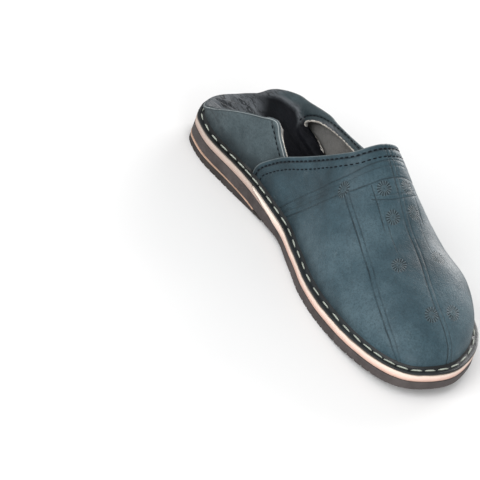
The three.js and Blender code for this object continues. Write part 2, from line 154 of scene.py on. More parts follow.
@dataclass
class Last:
    """The sole's outline and the heights along it, shared by every layer.

    The outline's rows are a share of the length, and the width there on the inner and outer side.
    """

    outline: Rows = (
        (0.03, 24, 18.3),
        (0.08, 34.5, 28.5),
        (0.16, 37.9, 35.8),
        (0.25, 35.6, 37.3),
        (0.35, 32.5, 38.6),
        (0.45, 31.5, 42),
        (0.55, 38.1, 47),
        (0.65, 46.2, 50.5),
        (0.72, 48.8, 52.9),
        (0.8, 49.3, 50.6),
        (0.88, 47.3, 41.7),
        (0.94, 42.4, 27.9),
        (0.98, 33, 11.2),
    )
    heel_side: float = -2.5
    toe_side: float = -8.5
    heel_top: float = 18.4
    fore_top: float = 10.4
    heel_fall: tuple[float, float] = (0.24, 0.3)
    arch: tuple[float, float, float] = (0.28, 0.32, 2.0)
    toe_lift: tuple[float, float, float] = (0.7, 0.42, 7.7)
    insole: float = 2.0
    midsole: float = 4.8
    outsole_heel: float = 7.2
    outsole_waist: float = 6.3
    leather: float = 1.8
    leather_tip: float = 0.6
    leather_end: float = 102.0
    heel_end: float = 112.0

    def __post_init__(self) -> None:
        """Works out the two sides of the outline as curves of the turn round it."""
        turns = [math.acos(1 - 2 * row[0]) for row in self.outline]
        places = [0.0, *turns, math.pi]
        inner = [row[1] for row in self.outline]
        outer = [row[2] for row in self.outline]
        self.inner = Column(places, [-self.heel_side, *inner, -self.toe_side])
        self.outer = Column(places, [self.heel_side, *outer, self.toe_side])

    def rim(self, turn: Points) -> Points:
        """The outline of the turned-out edge.

        Args:
            turn: 0 at the heel's back, above 0 on the inner side, pi at the toe.

        Returns:
            The x and y of each turn.
        """
        t = np.abs(turn)
        y = np.where(turn >= 0, -self.inner(t), self.outer(t))
        return np.stack([LENGTH * (1 - np.cos(t)) / 2, y], axis=-1)

    def inward(self, turn: Points) -> Points:
        """The unit normals that point into the shoe.

        Args:
            turn: the turns, as rim counts them.

        Returns:
            A flat vector for each turn.
        """
        step = math.pi / 240
        ahead = np.where(turn + step > math.pi, turn + step - 2 * math.pi, turn + step)
        behind = np.where(turn - step < -math.pi, turn - step + 2 * math.pi, turn - step)
        along = unit(self.rim(behind) - self.rim(ahead))
        return np.stack([along[..., 1], -along[..., 0]], axis=-1)

    def inset(self, turn: Points, distance: Any) -> Points:
        """The outline drawn in by a distance."""
        return self.rim(turn) + self.inward(turn) * np.asarray(distance)[..., None]

    def sides(self, distance: float) -> tuple[float, Callable, Callable]:
        """The two sides of the outline, drawn in.

        Args:
            distance: how far it is drawn in.

        Returns:
            The toe's x, and the y of the inner and the outer side at any x.
        """
        turns = np.linspace(0, math.pi, 241)
        near = self.inset(turns, distance)
        far = self.inset(-turns, distance)
        toe = float(near[-1, 0])
        return toe, lambda x: np.interp(x, *near.T), lambda x: np.interp(x, *far.T)

    def share(self, x: Points, slope: Sequence[float]) -> Points:
        """How far along a slope of the sole an x is, from 0 to 1."""
        return np.clip((x / LENGTH - slope[0]) / slope[1], 0, 1)

    def tread(self, x: Points) -> Points:
        """The height of the tread: flat, with an arch and a toe spring."""
        arch = self.arch[2] * np.sin(np.pi * self.share(x, self.arch)) ** 2
        return self.toe_lift[2] * smooth(self.share(x, self.toe_lift)) + arch

    def heel_share(self, x: Points) -> Points:
        """One over the heel and nothing under the ball."""
        return 1 - smooth(self.share(x, self.heel_fall))

    def top(self, x: Points) -> Points:
        """The height of the midsole's top."""
        spring = self.toe_lift[2] * smooth(self.share(x, self.toe_lift))
        return self.fore_top + (self.heel_top - self.fore_top) * self.heel_share(x) + spring

    def seat(self, x: Points) -> Points:
        """The height of what lies on the midsole."""
        return self.top(x) + GAP

    def insole_top(self, x: Points) -> Points:
        """The height of the insole's top."""
        return self.seat(x) + self.insole

    def midsole_under(self, x: Points) -> Points:
        """The height of the midsole's underside."""
        return self.top(x) - self.midsole

    def outsole_top(self, x: Points) -> Points:
        """The height of the outsole's top."""
        return self.midsole_under(x) - GAP

    def outsole_under(self, x: Points) -> Points:
        """The height of the outsole's underside."""
        heel = self.outsole_waist + (self.outsole_heel - self.outsole_waist) * self.heel_share(x)
        return np.maximum(self.outsole_top(x) - heel, self.tread(x))

    def leather_thick(self, x: Points) -> Points:
        """How thick the heel's leather layer is."""
        return self.leather + (self.leather_tip - self.leather) * smooth(x / self.leather_end)

    def leather_top(self, x: Points) -> Points:
        """The height of the leather layer's top."""
        return self.outsole_under(x) - GAP

    def leather_under(self, x: Points) -> Points:
        """The height of the leather layer's underside."""
        return self.leather_top(x) - self.leather_thick(x)

    def heel_piece_top(self, x: Points) -> Points:
        """The height of the heel piece's top."""
        fade = 1 - smooth((x - self.leather_end - 1) / 6)
        return self.leather_top(x) - (self.leather_thick(x) + GAP) * fade


LAST = Last()


def turn_of(place: Any) -> Any:
    """The turn of a place on the outline, below 0 on the inner side, as the quarter counts it."""
    return np.sign(place) * np.arccos(1 - 2 * np.abs(place) / LENGTH)


def find_origin() -> Points:
    """Where the frame's origin lies in the maker's millimetres, read from the turned-out edge.

    Returns:
        The origin's place.
    """
    low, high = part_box("welt")
    edge = LAST.inset(np.linspace(-math.pi, math.pi, 2001), WELT_SET_IN)
    middle = (edge[:, 1].min() + edge[:, 1].max()) / 2
    return np.array([WELT_SET_IN - low.x / MM, middle - (low.y + high.y) / 2 / MM, 0.0])


ORIGIN = find_origin()


def to_frame(points: Points) -> Points:
    """Points in the maker's millimetres as metres in the frame."""
    return (np.asarray(points, float) - ORIGIN) * MM


def ripple(points: Points, size: float, seed: float) -> Points:
    """Smooth random waves from -1 to 1.

    Args:
        points: places in millimetres.
        size: the width of a wave in millimetres.
        seed: shifts the waves, so that two uses differ.

    Returns:
        One value for each point.
    """
    flat = points.reshape(-1, 3) / size + seed
    values = [noise.noise(Vector(p)) for p in flat]
    return np.array(values).reshape(points.shape[:-1])


def facing(points: Points) -> Points:
    """The unit normals of a grid of points, by the steps between its rows and columns.

    Args:
        points: rows and columns of places.

    Returns:
        A normal for each place.
    """
    across = np.gradient(points, axis=1)
    along = np.gradient(points, axis=0)
    return unit(np.cross(across, along))


class Bench:
    """The steps that pieces go through on the workbench."""

    @staticmethod
    def take(*pieces: Piece) -> None:
        """Selects these pieces alone, and makes the last one active.

        Args:
            pieces: the pieces.
        """
        bpy.ops.object.select_all(action="DESELECT")
        for piece in pieces:
            piece.select_set(True)
        bpy.context.view_layer.objects.active = pieces[-1]

    @staticmethod
    def sheet(name: str, points: Points, uv: Points | None = None) -> Piece:
        """Lays out a flat grid and shapes it to a form.

        Args:
            name: the piece's name.
            points: rows and columns of places in millimetres.
            uv: rows and columns of pattern places, where a pattern follows the sheet.

        Returns:
            The new piece.
        """
        rows, columns = points.shape[:2]
        bpy.ops.object.select_all(action="DESELECT")
        bpy.ops.mesh.primitive_grid_add(x_subdivisions=columns - 1, y_subdivisions=rows - 1, size=1)
        piece = bpy.context.active_object
        piece.name = name
        piece.data.name = name
        piece.data.vertices.foreach_set("co", to_frame(points).ravel())
        if uv is not None:
            corners = np.empty(len(piece.data.loops), int)
            piece.data.loops.foreach_get("vertex_index", corners)
            piece.data.uv_layers.active.data.foreach_set("uv", uv.reshape(-1, 2)[corners].ravel())
        return piece

    @staticmethod
    def mark(piece: Piece, name: str, values: Points) -> None:
        """Keeps one value or one vector for each vertex, for the finish to read.

        Args:
            piece: the piece.
            name: what the finish calls it.
            values: rows and columns of values or vectors.
        """
        vector = values.ndim == 3
        layer = piece.data.attributes.new(name, "FLOAT_VECTOR" if vector else "FLOAT", "POINT")
        layer.data.foreach_set("vector" if vector else "value", values.astype(float).ravel())

    @staticmethod
    def apply(piece: Piece, kind: str, **settings: Any) -> None:
        """Adds a modifier with its settings and applies it.

        Args:
            piece: the piece.
            kind: the modifier's type.
            settings: its settings.
        """
        Bench.take(piece)
        bpy.ops.object.modifier_add(type=kind)
        modifier = piece.modifiers[-1]
        for key, value in settings.items():
            setattr(modifier, key, value)
        bpy.ops.object.modifier_apply(modifier=modifier.name)

    @staticmethod
    def read(piece: Piece) -> Points:
        """The places of a piece's vertices, as its mesh holds them.

        Args:
            piece: the piece.

        Returns:
            One place for each vertex.
        """
        raw = np.empty(len(piece.data.vertices) * 3)
        piece.data.vertices.foreach_get("co", raw)
        return raw.reshape(-1, 3)

    @staticmethod
    @contextmanager
    def editing(piece: Piece) -> Iterator[None]:
        """Opens a piece for work on its mesh, with all of it selected.

        Args:
            piece: the piece.

        Returns:
            The time that the piece is open.
        """
        Bench.take(piece)
        bpy.ops.object.mode_set(mode="EDIT")
        bpy.ops.mesh.select_all(action="SELECT")
        yield
        bpy.ops.object.mode_set(mode="OBJECT")

    @staticmethod
    def weld(piece: Piece, distance: float = 0.02, turn_out: bool = True) -> None:
        """Joins vertices that meet.

        Args:
            piece: the piece.
            distance: how near they have to be, in millimetres.
            turn_out: whether it is a closed body, whose faces are turned outwards too.
        """
        with Bench.editing(piece):
            bpy.ops.mesh.remove_doubles(threshold=distance * MM)
            if turn_out:
                bpy.ops.mesh.normals_make_consistent(inside=False)

    @staticmethod
    def thicken(shell: Piece, normal: Points, wall: float) -> None:
        """Gives a sheet its wall on the inside, and rounds its edges a little.

        Args:
            shell: the sheet.
            normal: rows and columns of the outer side's normals.
            wall: the thickness in millimetres.
        """
        first = shell.data.polygons[len(shell.data.polygons) // 2]
        outer = Vector(normal.reshape(-1, 3)[first.vertices[0]])
        if first.normal.dot(outer) < 0:
            with Bench.editing(shell):
                bpy.ops.mesh.flip_normals()
        Bench.apply(shell, "SOLIDIFY", thickness=wall * MM, offset=-1, use_even_offset=False)
        sharp = math.radians(62)
        Bench.apply(shell, "BEVEL", width=0.3 * MM, segments=2, limit_method="ANGLE", angle_limit=sharp)
        Bench.soften(shell, 50)

    @staticmethod
    def soften(piece: Piece, angle: float = 40.0) -> None:
        """Shades a piece smooth, apart from edges sharper than an angle."""
        Bench.take(piece)
        bpy.ops.object.shade_smooth_by_angle(angle=math.radians(angle))

    @staticmethod
    def join(name: str, parts: Sequence[Piece]) -> Piece:
        """Joins parts into one piece with its place in its mesh.

        Args:
            name: the piece's name.
            parts: the parts.

        Returns:
            The piece.
        """
        Bench.take(*parts)
        bpy.ops.object.join()
        piece = bpy.context.active_object
        bpy.ops.object.transform_apply(location=True, rotation=True, scale=True)
        piece.name = name
        piece.data.name = name
        return piece

    @staticmethod
    def hand_over(piece: Piece, slot: str, finish: "Finish", *nodes: str) -> Piece:
        """Finishes a piece.

        Args:
            piece: the piece.
            slot: the name of its material slot; not used.
            finish: what it is finished in.
            nodes: the nodes that it stands for.

        Returns:
            The piece.
        """
        piece.data.materials.append(finish.material())
        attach(piece, ROOT)
        if nodes:
            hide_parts(*nodes)
        log.info("%s: %d faces", piece.name, len(piece.data.polygons))
        return piece


class Nodes:
    """A short way to write a node tree, one node a line."""

    def __init__(self, tree: Tree) -> None:
        """Takes the tree to write in."""
        self.tree = tree

    def put(self, value: Any, socket: Socket) -> None:
        """Links a socket from another, or fills it in.

        Args:
            value: the other socket, or a plain value.
            socket: the input that takes it.
        """
        if isinstance(value, bpy.types.NodeSocket):
            self.tree.links.new(value, socket)
        else:
            socket.default_value = value

    def add(self, kind: str, inputs: dict[Any, Any] | None = None, **settings: Any) -> Node:
        """Adds a node.

        Args:
            kind: the end of the node's type name.
            inputs: what goes into its inputs, by their names or numbers.
            settings: its other settings.

        Returns:
            The node.
        """
        node = self.tree.nodes.new("ShaderNode" + kind)
        for key, value in settings.items():
            setattr(node, key, value)
        for key, value in (inputs or {}).items():
            self.put(value, node.inputs[key])
        return node

    def math(self, operation: str, a: Socket, b: Socket = 0.0, clamp: bool = False) -> Socket:
        """One sum on one or two values."""
        return self.add("Math", {0: a, 1: b}, operation=operation, use_clamp=clamp).outputs[0]

    def total(self, *values: Socket) -> Socket:
        """The values added up."""
        return reduce(lambda a, b: self.math("ADD", a, b), values)

    def times(self, *values: Socket) -> Socket:
        """The values multiplied."""
        return reduce(lambda a, b: self.math("MULTIPLY", a, b), values)

    def most(self, *values: Socket) -> Socket:
        """The greatest of the values."""
        return reduce(lambda a, b: self.math("MAXIMUM", a, b), values)

    def less(self, a: Socket, b: Socket) -> Socket:
        """The first value less the second."""
        return self.math("SUBTRACT", a, b)

    def off(self, value: Socket, middle: float) -> Socket:
        """How far a value is from a middle, either way."""
        return self.math("ABSOLUTE", self.less(value, middle))

    def step(self, value: Socket, low: float, high: float) -> Socket:
        """A soft step from 0 at low to 1 at high, either way round."""
        inputs = {"Value": value, "From Min": low, "From Max": high}
        return self.add("MapRange", inputs, interpolation_type="SMOOTHSTEP").outputs[0]

    def spread(self, value: Socket, low: float, high: float) -> Socket:
        """A value from 0 to 1 spread over a range."""
        return self.add("MapRange", {"Value": value, "To Min": low, "To Max": high}).outputs[0]

    def noise(self, vector: Socket, scale: float, detail: float = 3.0, rough: float = 0.55) -> Socket:
        """Soft noise, its scale in waves a metre."""
        inputs = {"Vector": vector, "Scale": scale, "Detail": detail, "Roughness": rough}
        return self.add("TexNoise", inputs).outputs[0]

    def stretch(self, vector: Socket, scale: Sequence[float], turn: Sequence[float] = (0, 0, 0)) -> Socket:
        """Stretches and turns a pattern."""
        return self.add("Mapping", {"Vector": vector, "Scale": scale, "Rotation": turn}).outputs[0]

    def streaks(self, vector: Socket, scale: Sequence[float], turn: Sequence[float] = (0, 0, 0),
                detail: float = 3.0, rough: float = 0.6) -> Socket:
        """Noise drawn out in one direction, its scale in waves a metre on each axis."""
        return self.noise(self.stretch(vector, scale, turn), 1.0, detail, rough)

    def mix(self, share: Socket, a: Socket | Colour, b: Socket | Colour) -> Socket:
        """Mixes two colours.

        Args:
            share: how much of the second, from 0 to 1.
            a: the first colour.
            b: the second colour.

        Returns:
            The mixed colour.
        """
        node = self.add("Mix", {0: share}, data_type="RGBA")
        for key, value in ((6, a), (7, b)):
            self.put((*value, 1.0) if isinstance(value, tuple) else value, node.inputs[key])
        return node.outputs[2]

    def tint(self, colour: Socket, mask: Socket, share: float, shade: Colour) -> Socket:
        """Brings a colour towards a shade by a share, where a mask lies."""
        return self.mix(self.times(mask, share), colour, shade)

    def ramp(self, value: Socket, *stops: tuple[float, Colour]) -> Socket:
        """A colour ramp.

        Args:
            value: the place on the ramp.
            stops: places from 0 to 1, each with its colour.

        Returns:
            The colour.
        """
        node = self.add("ValToRGB", {"Fac": value})
        elements = node.color_ramp.elements
        while len(elements) < len(stops):
            elements.new(0.5)
        for element, (place, colour) in zip(elements, stops):
            element.position = place
            element.color = (*colour, 1.0)
        return node.outputs[0]

    def bump(self, height: Socket, depth: float, normal: Socket | None = None) -> Socket:
        """Raises the surface.

        Args:
            height: the height, from 0 to about 1.
            depth: what a height of 1 is in millimetres.
            normal: the normal that is bumped further, if any.

        Returns:
            The new normal.
        """
        inputs = {"Height": height, "Distance": depth * MM, "Strength": 1.0}
        if normal is not None:
            inputs["Normal"] = normal
        return self.add("Bump", inputs).outputs[0]

    def place(self) -> Socket:
        """The place on the object."""
        return self.add("TexCoord").outputs["Object"]

    def axes(self, vector: Socket) -> Any:
        """A vector's three values."""
        return self.add("SeparateXYZ", {0: vector}).outputs

    def mark(self, name: str) -> Socket:
        """A value that Bench.mark kept."""
        return self.add("Attribute", attribute_name=name).outputs["Fac"]

    def marks(self, name: str) -> Any:
        """The three values of a vector that Bench.mark kept."""
        return self.axes(self.add("Attribute", attribute_name=name).outputs["Vector"])


class Effects:
    """Shader groups that several finishes share, each built on its first use."""

    made: dict[str, Tree] = {}

    @classmethod
    def use(cls, n: Nodes, effect: Callable, vector: Socket, **values: float) -> Any:
        """Places a group in a material.

        Args:
            n: the material's nodes.
            effect: the method that writes the group.
            vector: the place that its patterns follow.
            values: its other inputs.

        Returns:
            The group's outputs.
        """
        name = effect.__name__
        if name not in cls.made:
            tree = bpy.data.node_groups.new(name, "ShaderNodeTree")
            tree.interface.new_socket("Vector", in_out="INPUT", socket_type="NodeSocketVector")
            for key in values:
                tree.interface.new_socket(key, in_out="INPUT", socket_type="NodeSocketFloat")
            given = tree.nodes.new("NodeGroupInput")
            put = tree.nodes.new("NodeGroupOutput")
            for key, socket in effect(Nodes(tree), given.outputs).items():
                tree.interface.new_socket(key, in_out="OUTPUT", socket_type="NodeSocketFloat")
                tree.links.new(socket, put.inputs[key])
            cls.made[name] = tree
        return n.add("Group", {"Vector": vector, **values}, node_tree=cls.made[name]).outputs

    @staticmethod
    def grain(n: Nodes, given: Any) -> dict[str, Socket]:
        """Leather grain: fine pebbles pitted by pores.

        Args:
            n: the group's nodes.
            given: its inputs.

        Returns:
            The height.
        """
        warp = n.add("TexNoise", {"Vector": given["Vector"], "Scale": 260.0, "Detail": 2.0})
        bent = n.add("VectorMath", {0: warp.outputs["Color"], "Scale": 0.0016}, operation="SCALE")
        vector = n.add("VectorMath", {0: given["Vector"], 1: bent.outputs[0]}).outputs[0]
        scale = given["Scale"]
        pebble = n.add("TexVoronoi", {"Vector": vector, "Scale": scale}, feature="SMOOTH_F1")
        pores = n.step(n.noise(vector, scale, 5.0, 0.7), 0.56, 0.68)
        return {"Height": n.less(n.less(1.0, pebble.outputs["Distance"]), n.times(pores, 0.5))}

    @staticmethod
    def mottle(n: Nodes, given: Any) -> dict[str, Socket]:
        """Uneven dye: broad clouds with a finer stain in them.

        Args:
            n: the group's nodes.
            given: its inputs.

        Returns:
            A value round a half.
        """
        broad = n.noise(given["Vector"], 16.0, 3.0, 0.5)
        fine = n.noise(given["Vector"], 95.0, 5.0, 0.62)
        centred = n.less(n.total(n.times(broad, 0.68), n.times(fine, 0.32)), 0.5)
        return {"Value": n.math("ADD", n.times(centred, given["Contrast"]), 0.5, clamp=True)}

    @staticmethod
    def scuffs(n: Nodes, given: Any) -> dict[str, Socket]:
        """Thin pale scratches and rubbed spots.

        Args:
            n: the group's nodes.
            given: its inputs.

        Returns:
            A mask of each.
        """
        place = given["Vector"]
        one = n.streaks(place, (60, 700, 420), (0.3, 0.2, 0.6), 2.0, 0.55)
        two = n.streaks(place, (640, 70, 400), (0.1, 0.5, -0.35), 2.0, 0.55)
        where = n.step(n.noise(place, 38.0, 2.0), 0.47, 0.66)
        lines = n.most(n.step(one, 0.69, 0.76), n.step(two, 0.7, 0.77))
        rubbed = n.step(n.noise(place, 150.0, 6.0, 0.7), 0.56, 0.78)
        return {"Scratches": n.times(lines, where), "Rubbed": n.times(rubbed, where)}

    @staticmethod
    def fibre(n: Nodes, given: Any) -> dict[str, Socket]:
        """The felted fibre of a cut or fleshed leather surface.

        Args:
            n: the group's nodes.
            given: its inputs.

        Returns:
            The height.
        """
        fine = n.noise(given["Vector"], 1500.0, 4.0, 0.7)
        clump = n.noise(given["Vector"], 420.0, 4.0, 0.6)
        return {"Height": n.total(n.times(fine, 0.6), n.times(clump, 0.4))}


@dataclass(frozen=True)
class Finish:
    """A finish with a name; each kind writes its own nodes."""

    name: str

    def write(self, n: Nodes, shader: Node) -> None:
        """Writes the nodes that feed the shader."""
        raise NotImplementedError

    def material(self) -> bpy.types.Material:
        """The finish as a material, made on its first use.

        Returns:
            The material.
        """
        found = bpy.data.materials.get(self.name)
        if found is not None:
            return found
        material = bpy.data.materials.new(self.name)
        material.use_nodes = True
        material.node_tree.nodes.clear()
        n = Nodes(material.node_tree)
        shader = n.add("BsdfPrincipled")
        n.add("OutputMaterial", {0: shader.outputs[0]})
        self.write(n, shader)
        return material

    @staticmethod
    def feed(n: Nodes, shader: Node, **inputs: Any) -> None:
        """Feeds the shader; an underscore in an input's name stands for a space."""
        for key, value in inputs.items():
            n.put(value, shader.inputs[key.replace("_", " ")])


class Panel(Enum):
    """The panel that an upper's leather is for."""

    VAMP = "vamp"
    QUARTER = "quarter"


@dataclass(frozen=True)
class UpperLeather(Finish):
    """Waxed blue-grey leather with uneven dye, scuffs, and what was pressed or trodden into it."""

    panel: Panel = Panel.VAMP
    dark: Colour = (0.009, 0.023, 0.031)
    middle: Colour = (0.028, 0.059, 0.076)
    light: Colour = (0.064, 0.108, 0.130)
    # Pale rim: the cut edge, partly rubbed and partly a painted highlight; on the quarter, a painted
    # highlight along the fold's crest.
    edge: Colour = (0.16, 0.185, 0.19)
    # Near black: the burnished pressed lines and the darker foot, and painted shade in creases and along the
    # stitch groove.
    burnish_and_shade: Colour = (0.004, 0.007, 0.009)
    # Pale rubbed leather for scuffs, and a painted highlight between the daisies' strokes.
    rubbed: Colour = (0.125, 0.155, 0.162)
    fleshed: Colour = (0.20, 0.19, 0.175)
    # Painted shade for the creases of the trodden leather.
    creased: Colour = (0.006, 0.007, 0.009)
    # Where the painted shade of the stitch groove lies, measured from the edge.
    seam_at: float = 3.4
    line_width: float = 0.62
    petals: float = 15.0
    gloss: float = 0.3
    well_gloss: float = 0.08
    coat: float = 0.06

    def stroke(self, n: Nodes, distance: Socket, place: float, strength: float = 1.0) -> Socket:
        """One soft line at a place on a distance."""
        return n.times(n.step(n.off(distance, place), self.line_width, self.line_width * 0.15), strength)

    def pair(self, n: Nodes, distance: Socket, apart: float, strength: float = 1.0) -> Socket:
        """A deep line at nought, and a fainter one beside it."""
        deep = self.stroke(n, distance, 0.0, strength)
        return n.most(deep, self.stroke(n, distance, apart, strength * 0.6))

    @staticmethod
    def within(n: Nodes, mask: Socket, low: float, high: float, value: Socket, fade: float = 1.2) -> Socket:
        """Keeps a mask where a value lies between two places, the far one softened by a fade."""
        mask = n.times(mask, n.step(value, low - 0.6, low + 0.6))
        return n.times(mask, n.step(value, high + fade / 2, high - fade / 2))

    def lines(self, n: Nodes, place: Socket) -> Socket:
        """The lines pressed into the vamp.

        Args:
            n: the material's nodes.
            place: the place on the vamp.

        Returns:
            All the lines as one mask, unevenly worn.
        """
        middle, flank, along = n.marks("Tool")
        low, high, cross = n.marks("Band")
        side = n.math("ABSOLUTE", n.mark("side"))
        tool, gap = VampTooling(), VampTooling.gap
        short = self.stroke(n, side, tool.short)
        inner = self.stroke(n, side, tool.short - gap, 0.6)
        mask = n.most(
            self.within(n, self.pair(n, middle, gap), tool.middle_from, tool.past_toe, along),
            self.within(n, self.pair(n, flank, -gap), tool.flank_from, tool.past_toe, along),
            self.within(n, short, tool.short_from, tool.short_to, along, 8.0),
            self.within(n, inner, tool.short_from + 20, tool.short_to + 18, along, 12.0),
            self.within(n, self.pair(n, cross, -gap), -1.0, tool.short + 3, side),
            self.stroke(n, low, 0.0, 0.85),
            n.times(self.stroke(n, low, -gap, 0.5), n.step(side, 36.0, 50.0)),
            self.pair(n, high, gap, 0.62),
        )
        return n.times(mask, n.spread(n.step(n.noise(place, 70.0, 4.0, 0.6), 0.32, 0.62), 0.4, 1.0))

    def rosette(self, n: Nodes) -> tuple[Socket, Socket]:
        """A stamped daisy: short strokes in a ring.

        Args:
            n: the material's nodes.

        Returns:
            Masks of the dark strokes and of the leather between them, which is tinted paler as rubbed leather
            and painted highlight.
        """
        across, down, near = n.marks("Rosette")
        reach = n.math("SQRT", n.total(n.math("POWER", across, 2.0), n.math("POWER", down, 2.0)))
        wave = n.math("COSINE", n.times(n.math("ARCTAN2", down, across), self.petals))
        inside = n.times(n.step(reach, 5.4, 4.6), n.step(near, 0.4, 0.6))
        ring = n.times(n.step(reach, 1.7, 2.6), inside)
        return n.times(n.step(wave, -0.1, 0.7), ring), n.times(n.step(wave, 0.1, -0.7), inside)

    def pressed(self, n: Nodes, place: Socket, colour: Socket, normal: Socket) -> tuple[Socket, Socket]:
        """Presses the lines and daisies into the vamp.

        Args:
            n: the material's nodes.
            place: the place on the vamp.
            colour: the colour so far.
            normal: the normal so far.

        Returns:
            The new colour and normal.
        """
        dark, light = self.rosette(n)
        shade = n.most(self.lines(n, place), dark)
        # Between the strokes the leather is tinted paler, partly rubbed and partly a painted highlight.
        colour = n.tint(colour, light, 0.34, self.rubbed)
        colour = n.tint(colour, shade, 0.68, self.burnish_and_shade)
        return colour, n.bump(n.less(n.times(light, 0.3), shade), 0.4, normal)

    @staticmethod
    def creases(n: Nodes, place: Socket, scale: Sequence[float], turn: float, width: float) -> Socket:
        """Thin lines that wander in one direction."""
        off = n.off(n.streaks(place, scale, (0, 0, turn), 3.0, 0.55), 0.5)
        return n.step(off, width, width * 0.2)

    def trodden(self, n: Nodes, place: Socket, colour: Socket, normal: Socket) -> tuple[Socket, Socket]:
        """Treads the quarter's top dull and creased; painted shade darkens its creases and, over a darker
        dye, its deep hollow.

        Args:
            n: the material's nodes.
            place: the place on the quarter.
            colour: the colour so far.
            normal: the normal so far.

        Returns:
            The new colour and normal.
        """
        flap = n.mark("flap")
        long = self.creases(n, place, (20, 120, 120), -0.42, 0.02)
        short = self.creases(n, place, (40, 260, 260), 0.12, 0.02)
        hair = self.creases(n, place, (60, 520, 520), -0.2, 0.03)
        lines = n.most(long, n.times(short, 0.8), n.times(hair, 0.5))
        cloud = n.streaks(place, (16, 60, 60), (0, 0, -0.3), 3.0, 0.5)
        dull = n.ramp(cloud, (0.34, (0.050, 0.056, 0.064)), (0.5, (0.083, 0.092, 0.102)),
                      (0.66, (0.138, 0.150, 0.162)))
        # Nearly black: painted shade in the deep hollow, over a darker dye.
        deep = n.ramp(cloud, (0.4, (0.0035, 0.004, 0.0055)), (0.65, (0.012, 0.013, 0.017)))
        # Painted shade darkens the creases.
        inner = n.tint(n.mix(n.mark("well_shade"), dull, deep), lines, 0.6, self.creased)
        colour = n.mix(flap, colour, inner)
        # Painted shade in the creases at the heel's back.
        back = n.step(n.axes(place)[0], -0.075, -0.125)
        colour = n.tint(colour, n.times(lines, back), 0.75, self.burnish_and_shade)
        colour = n.mix(n.mark("inside"), colour, self.fleshed)
        swell = n.streaks(place, (14, 90, 90), (0, 0, -0.25), 2.0, 0.5)
        height = n.less(n.times(swell, 1.2), n.times(lines, 0.35))
        share = n.most(flap, n.times(back, 0.45))
        return colour, n.bump(n.times(height, share), 0.5, normal)

    def worn(self, n: Nodes, place: Socket, dye: Socket) -> Socket:
        """The dyed leather with its scuffs and specks, darker towards its foot, painted shade along the
        stitch groove, and a pale edge, partly rubbed and partly a painted highlight.

        Args:
            n: the material's nodes.
            place: the place on the panel.
            dye: how much dye the leather took.

        Returns:
            The colour.
        """
        scratches, spots = Effects.use(n, Effects.scuffs, place)
        colour = n.ramp(dye, (0.08, self.dark), (0.5, self.middle), (0.95, self.light))
        # Darker towards the foot of the wall, by the height over the sole.
        low = n.step(n.total(n.mark("foot"), n.times(dye, 7.0)), 19.0, 2.0)
        colour = n.tint(colour, low, 0.8, self.burnish_and_shade)
        colour = n.mix(n.total(n.times(scratches, 0.4), n.times(spots, 0.28)), colour, self.rubbed)
        colour = n.tint(colour, n.step(n.noise(place, 760.0, 4.0, 0.75), 0.42, 0.64), 0.5, self.dark)
        rim = n.mark("rim")
        # Painted shade along the groove that the stitches lie in.
        colour = n.tint(colour, n.step(n.off(rim, self.seam_at), 0.9, 0.3), 0.55, self.burnish_and_shade)
        # A pale rim at the cut edge, partly rubbed and partly a painted highlight; the quarter's rim mark
        # also follows its near fold's crest, where it is a painted highlight.
        return n.tint(colour, n.step(rim, 1.1, 0.2), 0.55, self.edge)

    def write(self, n: Nodes, shader: Node) -> None:
        """Dye and wear, painted shade and highlights, the panel's own marks, grain and a soft wax shine.

        Args:
            n: the material's nodes.
            shader: its shader.
        """
        place = n.place()
        colour = self.worn(n, place, Effects.use(n, Effects.mottle, place, Contrast=2.6)[0])
        normal = n.bump(n.noise(place, 260.0, 5.0, 0.65), 0.34)
        gloss = self.gloss
        if self.panel is Panel.VAMP:
            colour, normal = self.pressed(n, place, colour, normal)
        else:
            colour, normal = self.trodden(n, place, colour, normal)
            gloss = n.spread(n.mark("well_shade"), self.gloss, self.well_gloss)
        normal = n.bump(Effects.use(n, Effects.grain, place, Scale=1250.0)[0], 0.17, normal)
        rough = n.spread(n.noise(place, 55.0, 4.0), 0.4, 0.68)
        self.feed(n, shader, Base_Color=colour, Roughness=rough, Normal=normal)
        self.feed(n, shader, Coat_Weight=self.coat, Coat_Roughness=0.34, Specular_IOR_Level=gloss)


@dataclass(frozen=True)
class EdgeLeather(Finish):
    """The blackened, waxed edge that is turned out over the sole."""

    dark: Colour = (0.0025, 0.0030, 0.0032)
    light: Colour = (0.015, 0.019, 0.021)
    rubbed: Colour = (0.05, 0.056, 0.056)

    def write(self, n: Nodes, shader: Node) -> None:
        """Black wax worn a little grey, with fine grain.

        Args:
            n: the material's nodes.
            shader: its shader.
        """
        place = n.place()
        dye = Effects.use(n, Effects.mottle, place, Contrast=2.8)[0]
        colour = n.ramp(dye, (0.25, self.dark), (0.85, self.light))
        colour = n.tint(colour, n.step(n.noise(place, 330.0, 5.0, 0.7), 0.6, 0.8), 0.25, self.rubbed)
        normal = n.bump(n.noise(place, 300.0, 5.0, 0.65), 0.2)
        normal = n.bump(Effects.use(n, Effects.grain, place, Scale=1300.0)[0], 0.05, normal)
        self.feed(n, shader, Base_Color=colour, Roughness=n.spread(dye, 0.38, 0.62), Normal=normal)
        self.feed(n, shader, Coat_Weight=0.08, Coat_Roughness=0.35, Specular_IOR_Level=0.3)


